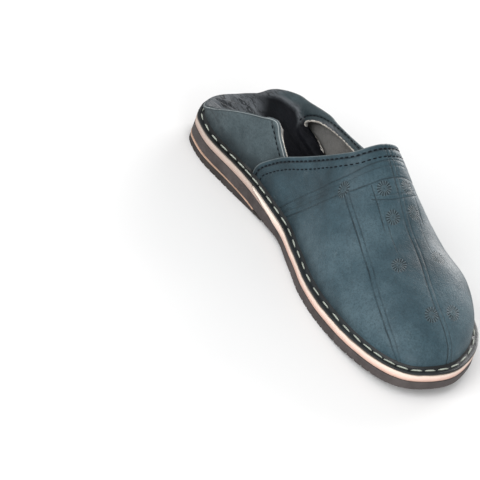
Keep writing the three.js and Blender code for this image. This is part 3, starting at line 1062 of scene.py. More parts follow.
@dataclass(frozen=True)
class RawLeather(Finish):
    """Undyed leather, fleshed or cut, from suede to a sanded edge."""

    dark: Colour
    light: Colour
    layers: float
    nap: float
    stain: float

    def write(self, n: Nodes, shader: Node) -> None:
        """Fibre, faint layers along a cut, and stains.

        Args:
            n: the material's nodes.
            shader: its shader.
        """
        place = n.place()
        fibre = Effects.use(n, Effects.fibre, place)[0]
        shade = n.total(n.times(fibre, 0.5), n.times(n.noise(place, 45.0, 5.0, 0.6), 0.5))
        colour = n.ramp(shade, (0.34, self.dark), (0.62, self.light))
        height = fibre
        if self.layers > 0:
            bands = n.streaks(place, (26, 26, 900))
            height = n.total(fibre, n.times(bands, self.layers))
            colour = n.mix(n.step(bands, 0.62, 0.4), colour, self.dark)
        soiled = tuple(0.45 * c for c in self.dark)
        colour = n.tint(colour, n.step(n.noise(place, 120.0, 6.0, 0.7), 0.58, 0.78), self.stain, soiled)
        self.feed(n, shader, Base_Color=colour, Roughness=n.spread(fibre, 0.74, 0.95))
        self.feed(n, shader, Normal=n.bump(height, self.nap), Specular_IOR_Level=0.25)
        self.feed(n, shader, Sheen_Weight=0.12, Sheen_Roughness=0.5)


@dataclass(frozen=True)
class SoleEdge(Finish):
    """The midsole's cut edge: pale pink leather, creamier at its top and dusky at its rims."""

    layers: tuple[tuple[float, Colour], ...] = (
        (0.0, (0.20, 0.125, 0.10)), (0.14, (0.50, 0.33, 0.27)), (0.42, (0.68, 0.48, 0.405)),
        (0.7, (0.74, 0.575, 0.50)), (0.9, (0.68, 0.565, 0.48)), (1.0, (0.26, 0.21, 0.175)),
    )
    cream: Colour = (0.84, 0.74, 0.65)
    trodden: Colour = (0.30, 0.25, 0.22)
    joint: Colour = (0.12, 0.075, 0.06)
    spots: Colour = (0.34, 0.24, 0.19)

    def write(self, n: Nodes, shader: Node) -> None:
        """Cream over pink, greyer under the heel, with fibre, spots and darker rims.

        Args:
            n: the material's nodes.
            shader: its shader.
        """
        place = n.place()
        scarf, strip = n.mark("scarf"), n.mark("strip")
        fibre = Effects.use(n, Effects.fibre, place)[0]
        wander = n.times(n.less(n.noise(place, 90.0, 4.0), 0.5), 0.3)
        colour = n.ramp(n.total(n.mark("band"), wander), *self.layers)
        fore = n.step(scarf, 0.0, 0.5)
        colour = n.tint(colour, n.times(fore, strip), 0.75, self.cream)
        colour = n.tint(colour, n.less(1.0, fore), 0.6, self.trodden)
        joint = n.times(n.step(n.math("ABSOLUTE", scarf), 0.7, 0.15), strip)
        colour = n.tint(colour, joint, 0.8, self.joint)
        colour = n.tint(colour, n.step(n.noise(place, 420.0, 5.0, 0.7), 0.6, 0.78), 0.4, self.spots)
        rise = n.total(fibre, n.times(n.streaks(place, (30, 30, 1100)), 0.8))
        rise = n.less(rise, n.times(joint, 1.5))
        self.feed(n, shader, Base_Color=colour, Roughness=n.spread(fibre, 0.6, 0.85))
        self.feed(n, shader, Normal=n.bump(rise, 0.16), Specular_IOR_Level=0.3)


@dataclass(frozen=True)
class Rubber(Finish):
    """Dark brown sheet rubber, ground at its side, with a dusty bloom."""

    dark: Colour = (0.030, 0.024, 0.023)
    light: Colour = (0.078, 0.066, 0.064)
    dust: Colour = (0.20, 0.17, 0.15)

    def write(self, n: Nodes, shader: Node) -> None:
        """Grinding marks, small pits and dust.

        Args:
            n: the material's nodes.
            shader: its shader.
        """
        place = n.place()
        cloud = n.noise(place, 60.0, 5.0, 0.6)
        colour = n.ramp(cloud, (0.3, self.dark), (0.75, self.light))
        colour = n.tint(colour, n.step(n.noise(place, 900.0, 3.0, 0.7), 0.64, 0.74), 0.35, self.dust)
        colour = n.tint(colour, n.step(n.noise(place, 210.0, 6.0, 0.72), 0.58, 0.8), 0.25, self.dust)
        pits = n.times(n.noise(place, 1100.0, 3.0, 0.6), 0.7)
        height = n.total(n.streaks(place, (120, 120, 1500)), pits)
        self.feed(n, shader, Base_Color=colour, Roughness=n.spread(cloud, 0.62, 0.88))
        self.feed(n, shader, Normal=n.bump(height, 0.12), Specular_IOR_Level=0.4)


@dataclass(frozen=True)
class Thread(Finish):
    """Twisted waxed thread."""

    dark: Colour = (0.26, 0.29, 0.25)
    light: Colour = (0.60, 0.64, 0.56)
    gloss: float = 0.4

    def write(self, n: Nodes, shader: Node) -> None:
        """Plies that wind round the thread, with painted shade in their hollows.

        Args:
            n: the material's nodes.
            shader: its shader.
        """
        along = n.stretch(n.add("TexCoord").outputs["UV"], (3.0, 7.0, 1.0), (0, 0, 0.7))
        wave = {"Vector": along, "Scale": 1.0, "Distortion": 0.6, "Detail": 1.0}
        twist = n.add("TexWave", wave).outputs["Fac"]
        # The colour follows the twist's bump, so painted shade darkens the plies' hollows.
        shade = n.total(n.times(twist, 0.45), n.times(n.noise(n.place(), 160.0, 4.0, 0.6), 0.6))
        colour = n.ramp(shade, (0.25, self.dark), (0.7, self.light))
        self.feed(n, shader, Base_Color=colour, Roughness=n.spread(twist, 0.7, 0.5))
        self.feed(n, shader, Normal=n.bump(twist, 0.18), Specular_IOR_Level=self.gloss)


VAMP_LEATHER = UpperLeather("vamp leather")
# The quarter's pale rim colour, (0.52, 0.55, 0.55), is mostly a painted highlight along the near fold's
# crest.
QUARTER_LEATHER = UpperLeather("quarter leather", Panel.QUARTER, (0.015, 0.026, 0.031), (0.051, 0.074, 0.083),
                               (0.098, 0.126, 0.136), (0.52, 0.55, 0.55), coat=0.0)
EDGE_LEATHER = EdgeLeather("turned edge leather")
LINING = RawLeather("lining suede", (0.10, 0.098, 0.093), (0.25, 0.247, 0.237), 0.0, 0.4, 0.3)
RAW_EDGE = RawLeather("raw cut edge", (0.40, 0.37, 0.33), (0.76, 0.73, 0.68), 0.3, 0.5, 0.15)
INSOLE = RawLeather("insole leather", (0.24, 0.18, 0.13), (0.42, 0.33, 0.25), 0.0, 0.12, 0.4)
HEEL_LEATHER = RawLeather("heel leather", (0.34, 0.22, 0.16), (0.66, 0.45, 0.34), 0.3, 0.2, 0.2)
SOLE_EDGE = SoleEdge("midsole edge")
OUTSOLE_RUBBER = Rubber("outsole rubber")
HEEL_RUBBER = Rubber("heel rubber", (0.016, 0.013, 0.012), (0.042, 0.035, 0.032), (0.12, 0.10, 0.09))
WELT_THREAD = Thread("welt thread")
DARK_THREAD = Thread("dark thread", (0.0015, 0.0025, 0.005), (0.008, 0.012, 0.018), 0.15)


def settle(carrier: Piece, points: Points) -> tuple[Points, Points]:
    """Moves points onto a piece's surface.

    Args:
        carrier: the piece.
        points: places in millimetres.

    Returns:
        The places on the surface, in millimetres, and its normals there.
    """
    tree = BVHTree.FromObject(carrier, bpy.context.evaluated_depsgraph_get())
    found = [tree.find_nearest(Vector(p)) for p in to_frame(points)]
    places = np.array([list(hit[0]) for hit in found]) / MM + ORIGIN
    return places, np.array([list(hit[1]) for hit in found])


@dataclass(frozen=True)
class Seam:
    """A row of stitches: pitch, length, width, and how proud its stitches stand, in millimetres."""

    pitch: float
    length: float
    width: float
    proud: float
    bow: float = 0.25
    faces: int = 10
    blunt: float = 0.6

    def stitch(self) -> Piece:
        """One stitch at the origin, along x, that dives at its two ends.

        Returns:
            The stitch.
        """
        bpy.ops.object.select_all(action="DESELECT")
        bpy.ops.mesh.primitive_uv_sphere_add(segments=self.faces, ring_count=self.faces, radius=1)
        bpy.ops.object.transform_apply(location=False, rotation=True, scale=True)
        piece = bpy.context.active_object
        ball = Bench.read(piece)[:, [2, 1, 0]]
        x = np.sign(ball[:, 0]) * np.abs(ball[:, 0]) ** self.blunt
        y = ball[:, 1] * (self.width / 2)
        z = ball[:, 2] * (self.width / 2) + self.proud - self.bow * self.width * 2 * x**4
        shaped = np.stack([x * self.length / 2, y, z], axis=1) * MM
        piece.data.vertices.foreach_set("co", shaped.ravel())
        Bench.weld(piece, 0.0005)
        return piece

    def sew(self, name: str, places: Points, along: Points, out: Points, waver: float = 0.03) -> Piece:
        """Copies the stitch to each place and joins the row.

        Args:
            name: the row's name.
            places: the middles of the stitches in millimetres.
            along: the direction of the row at each.
            out: the surface's normal at each.
            waver: how unevenly the hand has pulled them, as a share of the length.

        Returns:
            The row as one piece.
        """
        first = self.stitch()
        parts = []
        rng = np.random.default_rng(len(places) * 17 + int(self.pitch * 10))
        for place, ahead, up in zip(to_frame(places), unit(along), unit(out)):
            ahead = unit(ahead + np.cross(up, ahead) * rng.normal(0, waver))
            side = unit(np.cross(up, ahead))
            up = np.cross(ahead, side)
            part = first.copy()
            part.data = first.data.copy()
            bpy.context.collection.objects.link(part)
            size = 1 + rng.normal(0, waver)
            turned = Matrix((ahead * size, side, up)).transposed().to_4x4()
            part.matrix_world = Matrix.Translation(Vector(place)) @ turned
            parts.append(part)
        bpy.data.objects.remove(first)
        row = Bench.join(name, parts)
        Bench.take(row)
        bpy.ops.object.shade_smooth()
        return row

    def follow(self, name: str, carrier: Piece, line: Points, margin: float, reach: float) -> Piece:
        """Sews a row along a line.

        Args:
            name: the row's name.
            carrier: the piece that the line lies on.
            line: the line in millimetres.
            margin: how much of it is left free at each end.
            reach: how far before and behind a stitch the line's direction is taken.

        Returns:
            The row as one piece.
        """
        run = run_along(line)[-1]
        count = int((run - 1.5 * margin) / self.pitch)
        at = margin + (np.arange(count) + 0.5) * (run - 2 * margin) / count
        places, out = settle(carrier, resample(line, at))
        return self.sew(name, places, resample(line, at + reach) - resample(line, at - reach), out)


def tube(name: str, line: Points, radius: float, rough: float) -> Piece:
    """A rough round edge along a line, closed at both ends.

    Args:
        name: the piece's name.
        line: its middle line in millimetres.
        radius: its radius.
        rough: how unevenly it has been cut, as a share of the radius.

    Returns:
        The new piece.
    """
    ahead = unit(np.gradient(line, axis=0))
    side = unit(np.cross(ahead, [0.0, 0.0, 1.0]))
    up = np.cross(side, ahead)
    taper = smooth(np.minimum(np.arange(len(line)), np.arange(len(line))[::-1]) / 4.0)
    rings = []
    for angle in np.linspace(0, 2 * math.pi, 11):
        around = side * math.cos(angle) + up * math.sin(angle)
        wide = radius * taper * (1 + rough * ripple(line + around * radius, 1.6, 7.7))
        rings.append(line + around * wide[:, None])
    piece = Bench.sheet(name, np.stack(rings))
    Bench.weld(piece)
    Bench.soften(piece, 80)
    return piece


@dataclass(frozen=True)
class VampTooling:
    """Where lines and daisies are pressed into the vamp.

    Side is the distance round the foot from the ridge, and along the distance down the ridge
    from the top of the instep, in millimetres. The lines were ruled by hand and waver a little:
    the middle and flank are rows of along and side, the bands of side and x, the daisies of side
    and along.
    """

    middle: Rows = (
        (0, 1.8), (16, 1.7), (33, 0.9), (48, 0.6), (63, 1.0), (74, 0.1), (84, -1.4), (97, -2.4),
        (106, -2.2), (114, -1.2), (124, 0.8), (134, 2.4),
    )
    middle_from: float = -1.0
    past_toe: float = 400.0
    gap: float = 3.2
    flank: Rows = (
        (10, 34.8), (30, 34.4), (50, 33.5), (60, 33.8), (70, 34.9), (80, 36.9), (92, 38), (107, 38),
        (116, 37.2), (126, 36.3),
    )
    flank_from: float = 10.0
    short: float = 15.5
    short_from: float = 18.0
    short_to: float = 49.0
    cross: float = 31.6
    cross_bow: float = 0.0138
    low_band: Rows = (
        (0, 170), (13.8, 169.7), (24, 168), (42.2, 160.7), (59.7, 151), (87, 131), (110, 116),
    )
    high_band: Rows = (
        (0, 161.2), (8, 161), (25, 158.6), (47, 148.9), (67.7, 135), (85.6, 123.5), (110, 109),
    )
    daisies: Rows = (
        (-34.3, 8.0), (34.3, 8.0), (-8.1, 23.4), (10.1, 24.2), (-7.6, 42.7), (9.4, 41.0),
        (-15.5, 75), (15.3, 73.9), (-6, 113), (10.3, 113.6),
    )
    daisy_reach: float = 6.5


@dataclass
class Vamp:
    """The vamp: leather drawn over the toe and instep, open at its collar, with a suede lining.

    The sections' rows are x, height, the ridge's y, and how full the inner and outer side are. The
    collar's rows are its x and z.
    """

    leather: float = 1.2
    lining: float = 0.55
    rows: int = 205
    columns: int = 187
    sections: Rows = (
        (76, 87.5, 0, 1.9, 2.05),
        (115, 87, 0.4, 1.9, 2.05),
        (145, 80.5, 4.5, 1.98, 2.12),
        (175, 60, 7.2, 2.07, 2.15),
        (205, 43.2, 4.5, 2.16, 2.22),
        (230, 36.4, 1.3, 2.29, 2.62),
        (252, 27.2, -2.3, 2.33, 2.55),
        (266, 18.3, -4.6, 2.36, 2.5),
        (276, 9, -7, 2.4, 2.45),
        (TOE_END, 0, -8.5, 2.4, 2.45),
    )
    collar: Rows = (
        (86, 0), (86, 20), (88, 28), (94, 35.5), (105, 46), (120, 57), (133, 67), (144, 76),
        (150.5, 82.5), (154, 92), (156, 110),
    )
    tooling: VampTooling = VampTooling()
    row_one: Seam = Seam(3.8, 2.8, 1.0, 0.12)
    row_two: Seam = Seam(3.8, 2.7, 0.85, 0.05)
    row_places: tuple[float, float] = (3.0, 8.0)
    top: float = 156.0
    behind_collar: float = 175.0
    close_rows: int = 45
    slack: float = 0.05

    def __post_init__(self) -> None:
        """Works out the curves of the sections and the collar."""
        x, height, ridge, inner, outer = (list(c) for c in zip(*self.sections))
        self.first = x[0]
        self.square = Column(x, [h * h for h in height])
        self.ridge = Column(x, ridge)
        self.near_full = Column(x, inner)
        self.far_full = Column(x, outer)
        self.toe, self.near, self.far = LAST.sides(WALL_INSET)
        self.end = self.toe - 0.1
        self.collar_side = self.collar_line()
        self.measure()

    def collar_line(self) -> Points:
        """The collar from the side, as a smooth line through its rows.

        Returns:
            The line's x and z.
        """
        rows = np.array(self.collar, float)
        rows = np.vstack([rows[:1], rows, rows[-1:]])
        t = np.linspace(0, 1, 12, endpoint=False)[:, None]
        parts = []
        for p0, p1, p2, p3 in zip(rows, rows[1:], rows[2:], rows[3:]):
            v0, v1 = (p2 - p0) / 2, (p3 - p1) / 2
            cubic = 2 * p1 - 2 * p2 + v0 + v1
            square = 3 * p2 - 3 * p1 - 2 * v0 - v1
            parts.append(cubic * t**3 + square * t**2 + v0 * t + p1)
        return np.vstack([*parts, rows[-1:]])

    def collar_x(self, z: Points) -> Points:
        """Where the collar lies at a height."""
        return np.interp(z, self.collar_side[:, 1], self.collar_side[:, 0])

    def form(self, place: Points, turn: Points) -> Points:
        """The vamp's outer form.

        Args:
            place: the x of each point.
            turn: from 0 at the inner foot over the ridge to pi.

        Returns:
            The points.
        """
        place, turn = np.broadcast_arrays(np.asarray(place, float), turn)
        share = (place - self.first) / (self.end - self.first)
        x = self.first + (TOE_END - 0.1 - self.first) * share
        near, far = self.near(place), self.far(place)
        ridge = np.clip(self.ridge(x), near + 0.1, far - 0.1)
        height = np.maximum(np.sqrt(np.maximum(self.square(x), 0)), 0.4)
        inner = turn < math.pi / 2
        power = 2 / np.where(inner, self.near_full(x), self.far_full(x))
        reach = np.abs(np.cos(turn)) ** power
        rise = np.maximum(np.sin(turn), 0) ** power
        y = ridge + (np.where(inner, near, far) - ridge) * reach
        return np.stack([place, y, LAST.seat(place) + height * rise], axis=-1)

    def measure(self) -> None:
        """Measures round each section, so that columns lie evenly on both sides of the ridge."""
        self.places = self.first + (self.end - self.first) * bunched(300)
        turns = (1 - np.cos(np.linspace(0, math.pi, 1201))) * math.pi / 2
        grid = self.form(self.places[:, None], turns[None, :])
        steps = np.linalg.norm(np.diff(grid, axis=1), axis=2)
        run = np.concatenate([np.zeros((len(grid), 1)), np.cumsum(steps, axis=1)], axis=1)
        side = run - run[:, [600]]
        self.reach_near, self.reach_far = -side[:, 0], side[:, -1]
        shares = np.linspace(-1, 1, self.columns)
        wanted = np.where(shares < 0, shares * self.reach_near[:, None], shares * self.reach_far[:, None])
        self.turns = np.array([np.interp(w, s, turns) for w, s in zip(wanted, side)])
        self.shares = shares
        ridge = self.form(self.places, np.full(len(self.places), math.pi / 2))
        run = run_along(ridge)
        self.ridge_run = run - np.interp(self.top, self.places, run)

    def turn_at(self, place: Points) -> Points:
        """The turn of each column at its place, for rows of places."""
        found = [np.interp(place[..., j], self.places, self.turns[:, j]) for j in range(self.columns)]
        return np.stack(found, axis=-1)

    def collar_places(self) -> Points:
        """Where each column meets the collar.

        Returns:
            The place of each column.
        """
        low = np.full(self.columns, self.first + 2.0)
        high = np.full(self.columns, self.behind_collar)
        for _ in range(40):
            middle = (low + high) / 2
            z = self.form(middle, self.turn_at(middle))[..., 2]
            past = middle - self.collar_x(z) > 0
            high = np.where(past, middle, high)
            low = np.where(past, low, middle)
        return (low + high) / 2

    def side_of(self, place: Points) -> Points:
        """The signed distance round the foot from the ridge.

        Args:
            place: rows of the columns' places.

        Returns:
            The distances, below 0 on the inner side.
        """
        near = np.interp(place, self.places, self.reach_near)
        far = np.interp(place, self.places, self.reach_far)
        return np.where(self.shares < 0, self.shares * near, self.shares * far)

    def band(self, rows: Rows, place: Points, side: Points) -> Points:
        """The distance to a line that runs across the vamp.

        Args:
            rows: the line's x at distances from the ridge.
            place: the x of each point.
            side: its distance from the ridge.

        Returns:
            The distances, which allow for the leather's slope.
        """
        line = Column(*zip(*rows))
        slope = (line(np.abs(side) + 0.5) - line(np.abs(side) - 0.5)) * 1.1
        return (place - line(np.abs(side))) * 1.12 / np.sqrt(1 + slope**2)

    def daisy_marks(self, side: Points, along: Points) -> Points:
        """The place within the nearest daisy, and whether there is one.

        Args:
            side: the distance of each point from the ridge.
            along: its distance down the ridge.

        Returns:
            Across, down, and 1 within a daisy's reach.
        """
        best = np.full(side.shape, np.inf)
        marks = np.zeros((*side.shape, 3))
        for at_side, at_along in self.tooling.daisies:
            dx, dy = side - at_side, along - at_along
            far = np.hypot(dx, dy)
            here = np.stack([dx, dy, far < self.tooling.daisy_reach], axis=-1)
            marks = np.where((far < best)[..., None], here, marks)
            best = np.minimum(best, far)
        return marks

    def distances(self, place: Points, side: Points, along: Points) -> dict[str, Points]:
        """How far each point lies from each pressed line.

        Args:
            place: the x of each point.
            side: its distance from the ridge.
            along: its distance down the ridge.

        Returns:
            The distances by the names of the lines, with side and along among them.
        """
        tool = self.tooling
        return {
            "side": side,
            "along": along,
            "middle": side - Column(*zip(*tool.middle))(along),
            "flank": np.abs(side) - Column(*zip(*tool.flank))(along),
            "cross": along - tool.cross + tool.cross_bow * side**2,
            "low": self.band(tool.low_band, place, side),
            "high": self.band(tool.high_band, place, side),
        }

    def relief(self, marks: dict[str, Points], edge: Points) -> Points:
        """How far the pressed lines, seams and the hem lie above the form.

        Args:
            marks: the distances from the lines.
            edge: the distance from the collar.

        Returns:
            The height of each point.
        """
        tool = self.tooling

        def dent(distance: Points, width: float = 0.75) -> Points:
            """A soft groove."""
            return np.exp(-((distance / width) ** 2))

        def pair(distance: Points, apart: float) -> Points:
            """A deep groove and a shallower one beside it."""
            return np.maximum(dent(distance), 0.6 * dent(distance - apart))

        side, along = np.abs(marks["side"]), marks["along"]
        flank = pair(marks["flank"], -tool.gap) * smooth((along - tool.flank_from) / 2)
        short = dent(side - tool.short) * smooth((along - tool.short_from) / 2)
        short = short * smooth((tool.short_to - along) / 8)
        cross = pair(marks["cross"], -tool.gap) * smooth((tool.short + 3 - side) / 2)
        low, high = dent(marks["low"]) * 0.85, pair(marks["high"], tool.gap) * 0.7
        total = np.maximum.reduce([pair(marks["middle"], tool.gap), flank, short, cross, low, high])
        rows = [dent(edge - place, 0.8) * 1.3 for place in self.row_places]
        hem = -0.8 * smooth((self.row_places[0] - 0.6 - edge) / 1.4) * smooth(edge / 0.6)
        return -0.32 * (total + rows[0] + rows[1] + hem)

    def build(self) -> list[Piece]:
        """Makes the leather, its lining and the rows of stitches at the collar.

        Returns:
            The pieces.
        """
        start = self.collar_places()
        place = start + (self.end - start) * bunched(self.rows)[:, None]
        base = self.form(place, self.turn_at(place))
        normal = -facing(base)
        edge = np.full(place.shape, AWAY)
        gaps = base[:self.close_rows, :, None, :] - base[0][None, None, :, :]
        edge[:self.close_rows] = np.sqrt((gaps**2).sum(-1)).min(axis=-1)
        side = self.side_of(place)
        along = np.interp(place, self.places, self.ridge_run)
        marks = self.distances(place, side, along)
        foot = base[..., 2] - LAST.top(place) - GAP
        soft = 0.35 * ripple(base, 34, 3.1) + 0.12 * ripple(base, 13, 8.7)
        soft = soft * smooth((foot - 2) / 8)
        lift = self.relief(marks, edge) + soft
        shell = Bench.sheet("vamp", base + normal * lift[..., None], np.stack([side, along], axis=-1) / 100)
        Bench.mark(shell, "Tool", np.stack([marks["middle"], marks["flank"], along], axis=-1))
        Bench.mark(shell, "Band", np.stack([marks["low"], marks["high"], marks["cross"]], axis=-1))
        Bench.mark(shell, "side", side)
        Bench.mark(shell, "rim", edge)
        Bench.mark(shell, "Rosette", self.daisy_marks(side, along))
        # Eases the darkening towards the foot at the toe.
        Bench.mark(shell, "foot", foot + 14 * smooth((place - 225) / 40))
        Bench.thicken(shell, normal, self.leather)
        Bench.hand_over(shell, "upper_leather", VAMP_LEATHER, "upper")
        lining = self.line_it(base + normal * soft[..., None], normal)
        return [shell, lining, *self.sew_collar(shell, base, edge)]

    def line_it(self, base: Points, normal: Points) -> Piece:
        """The suede lining, just inside the leather.

        Args:
            base: the leather's outer side without its pressed lines.
            normal: its normals.

        Returns:
            The lining.
        """
        rows = np.unique(np.linspace(0, self.rows - 1, 110).astype(int))
        columns = np.unique(np.linspace(0, self.columns - 1, 95).astype(int))
        inside = base - normal * (self.leather + self.slack)
        lining = Bench.sheet("vamp_lining", inside[rows][:, columns])
        Bench.thicken(lining, normal[rows][:, columns], self.lining)
        return Bench.hand_over(lining, "insole_leather", LINING)

    def sew_collar(self, shell: Piece, base: Points, edge: Points) -> list[Piece]:
        """The two rows of dark stitches that follow the collar.

        Args:
            shell: the leather.
            base: its plain form.
            edge: the distance of each of its points from the collar.

        Returns:
            The rows.
        """
        rows = []
        names = ("collar_stitches_outer", "collar_stitches_inner")
        for name, seam, far in zip(names, (self.row_one, self.row_two), self.row_places):
            row = seam.follow(name, shell, self.offset_line(base, edge, far), 2.0, 0.5)
            rows.append(Bench.hand_over(row, "upper_leather", DARK_THREAD))
        return rows

    def offset_line(self, base: Points, edge: Points, far: float) -> Points:
        """A line on the vamp at one distance from the collar.

        Args:
            base: the plain form.
            edge: the distance of each of its points from the collar.
            far: the line's distance.

        Returns:
            The line.
        """
        found = []
        for j in range(self.columns):
            gaps = edge[:self.close_rows, j]
            if gaps.max() < far:
                continue
            i = int(np.argmax(gaps >= far))
            share = (far - gaps[i - 1]) / (gaps[i] - gaps[i - 1])
            found.append(base[i - 1, j] * (1 - share) + base[i, j] * share)
        return np.array(found)


@dataclass
class Quarter:
    """The quarter round the heel, with its top trodden down inside the shoe.

    Its leather is a sheet of rows from the foot over the fold to the free edge, and columns round
    the heel. Rows of the table are places round the heel, below 0 on the inner side, each with the
    fold's height and lean and the free edge's x, y and z.
    """

    leather: float = 1.2
    lining: float = 0.5
    columns: int = 301
    wall_rows: int = 34
    fold_rows: int = 14
    flap_rows: int = 64
    fold_radius: float = 3.1
    wing_depth: float = 1.5
    table: Rows = (
        (-122, 20, 1, 122, -20, 28.5),
        (-104, 30, 2.1, 104, -19.5, 41),
        (-94, 36, 3.1, 94, -19, 49),
        (-87, 42, 4.2, 88.5, -17.5, 54),
        (-75, 37.5, 3.4, 94, -15, 40),
        (-62, 31.5, 3.1, 97, -14, 30),
        (-41, 21, 2.4, 98, -11, 24),
        (-24, 12, 0.2, 98, -6, 23),
        (-10, 6.6, -3.2, 97, -1, 23),
        (0, 4.9, -3.0, 96, 6, 23),
        (9, 11, -1.2, 94, 13, 23.2),
        (17.5, 19.5, 0.6, 91, 20, 24.5),
        (25, 24, 1.5, 88, 24.5, 27),
        (33, 27, 1.8, 83, 26.5, 29.5),
        (44, 29.8, 2.4, 74, 26.5, 32.5),
        (53, 31, 2.7, 66, 24.5, 34.5),
        (60, 32.5, 3, 62, 22, 38),
        (68, 34.5, 3.4, 67, 21, 43.5),
        (78, 36.8, 3.8, 78, 20.8, 49.5),
        (90, 38.5, 4, 90, 21.3, 52),
        (105, 40.8, 4.2, 105, 22, 53),
        (122, 44, 4.9, 122, 22.5, 53),
    )
    seam: Seam = Seam(3.6, 2.6, 0.75, 0.08)
    row_place: float = 3.6
    roll: Rows = (
        (12, 11.5), (20.8, 14), (26.8, 14.2), (31.8, 15.6), (36.6, 17.2), (42.3, 18.2), (46.2, 18.9),
        (52.7, 20.2), (57, 20), (61, 18.8), (65, 18.4), (72, 19.5), (84, 21),
    )
    folds: Rows = (
        (7, -16, 22, 9, 0.8, 1.6), (8, -15, 32, 5, -0.9, 1.3), (9, -16, 42, 1, 0.9, 1.6),
        (11, -17, 52, -6, -0.8, 1.4), (9, 2, 34, 10, 0.9, 1.5), (12, 6, 50, 12, -0.9, 1.5),
        (22, 0, 70, 6, 0.6, 1.6), (30, -6, 80, 0, -0.6, 1.6), (40, -12, 86, -6, 0.5, 1.5),
        (38, 8, 84, 15, 0.6, 1.5), (14, -12, 17, 2, 0.5, 1.3), (50, 2, 92, 8, -0.5, 1.3),
    )
    slack: float = 0.05
    near_topline: float = -79.0
    near_crest: float = -86.5
    near_front: float = -85.0
    far_topline: float = 34.0
    far_stitches: float = 36.0
    far_cut: float = 30.0
    near_cut: tuple[float, float] = (-118.0, -91.0)
    clear_of_foot: float = 40.0
    heel_middle: float = -8.0
    # Where the hollow's painted shade begins, and how its edge slants.
    well_from: float = 12.0
    well_slant: float = 1.7
    sink: float = 2.4

    def __post_init__(self) -> None:
        """Works out the table's columns as curves of the turn, and the turn and place of each column."""
        place, fold, lean, *edge = (np.array(values, float) for values in zip(*self.table))
        turn = turn_of(place)
        self.fold, self.lean = Column(turn, fold), Column(turn, lean)
        self.edge = [Column(turn, values) for values in edge]
        self.turn = np.linspace(turn[0], -turn[0], self.columns)
        self.place = np.sign(self.turn) * (1 - np.cos(self.turn)) / 2 * LENGTH
        self.crest = self.wall_rows + 2
        self.fold_end = self.wall_rows + self.fold_rows - 1
        self.roll_line = Column(*zip(*self.roll))

    @staticmethod
    def past(points: Points, row: int, width: float) -> Points:
        """How far each row lies past another, from 0 to 1 over a width."""
        return smooth((np.arange(len(points))[:, None] - row) / width)

    def radius(self, turn: Points) -> Points:
        """The fold's radius: the near side is creased more sharply than the far side.

        Args:
            turn: the turn of each column.

        Returns:
            Its radius.
        """
        near = smooth((-turn - 0.4) / 0.5)
        wide = np.minimum(self.fold_radius, self.fold(turn) / 2)
        return wide * (1 - 0.6 * near)

    def sheet(self) -> Points:
        """The leather's grain side before any wrinkle.

        Returns:
            Its points.
        """
        turn = self.turn
        edge = LAST.rim(-turn)
        into = LAST.inward(-turn)
        inset = WALL_INSET + self.wing_depth * smooth((edge[:, 0] - 76) / 14)
        foot = edge + into * inset[:, None]
        base = LAST.seat(foot[:, 0])
        lean, radius = self.lean(turn), self.radius(turn)
        wall = self.fold(turn) - radius

        def at(deep: Points, up: Points) -> Points:
            """Places at a distance into the shoe and a height."""
            plan = foot + into * deep[:, None]
            return np.stack([plan[:, 0], plan[:, 1], base + up], axis=-1)

        rows = [at(lean * share**1.9, wall * share) for share in np.linspace(0, 1, self.wall_rows)]
        free = np.stack([column(turn) for column in self.edge], axis=-1)
        away = free - at(lean + radius, wall + radius)
        dip = np.arctan2(-away[:, 2], np.hypot(away[:, 0], away[:, 1]))
        bend = math.pi / 2 + np.clip(dip, 0, 1.2)
        for share in np.linspace(0, 1, self.fold_rows)[1:]:
            angle = bend * share
            rows.append(at(lean + radius * (1 - np.cos(angle)), wall + radius * np.sin(angle)))
        start = rows[-1]
        heading = at(np.sin(bend), np.cos(bend)) - at(bend * 0, bend * 0)
        length = np.linalg.norm(free - start, axis=1, keepdims=True)
        middle = start + heading * 0.28 * length
        for t in np.linspace(0, 1, self.flap_rows)[1:]:
            rows.append(start * (1 - t) ** 2 + middle * 2 * t * (1 - t) + free * t * t)
        return np.stack(rows)

    def wrinkles(self, points: Points) -> Points:
        """Folds of the trodden leather that fan out from the heel's two corners.

        Args:
            points: places on the sheet.

        Returns:
            How far the folds lift each place.
        """
        lift = np.zeros(points.shape[:2])
        flat = points[..., :2]
        for x0, y0, x1, y1, rise, width in self.folds:
            start, end = np.array([x0, y0], float), np.array([x1, y1], float)
            span = end - start
            t = np.clip(((flat - start) @ span) / (span @ span), 0, 1)
            gap = np.linalg.norm(flat - start - t[..., None] * span, axis=-1)
            fade = np.sin(np.pi * np.clip(t * 0.86 + 0.14, 0, 1))
            lift += rise * fade * np.exp(-((gap / width) ** 2))
        return lift

    def trodden(self, points: Points, folded: Points) -> tuple[Points, Points]:
        """Where the trodden leather lies deep in its hollow under painted shade, and the far roll beside it.

        Args:
            points: places on the sheet.
            folded: how far past the fold each place lies, from 0 to 1.

        Returns:
            How deep in the hollow's painted shade each place lies, and how far on the roll, both from 0 to 1.
        """
        x, y = points[..., 0], points[..., 1]
        beside = self.roll_line(x) - y
        upper = smooth((self.place - 50) / 7)
        rolled = smooth(-beside / 2.0) * smooth((x - 26) / 14)
        rolled = rolled * np.maximum(smooth((60 - x) / 4), upper)
        front = smooth((x - self.well_from - self.well_slant * (14 - y)) / 17)
        wing = smooth((x - 57) / 5) * (1 - upper) * (self.place > 20)
        return np.maximum(front * smooth(beside / 2.2), wing) * folded, rolled

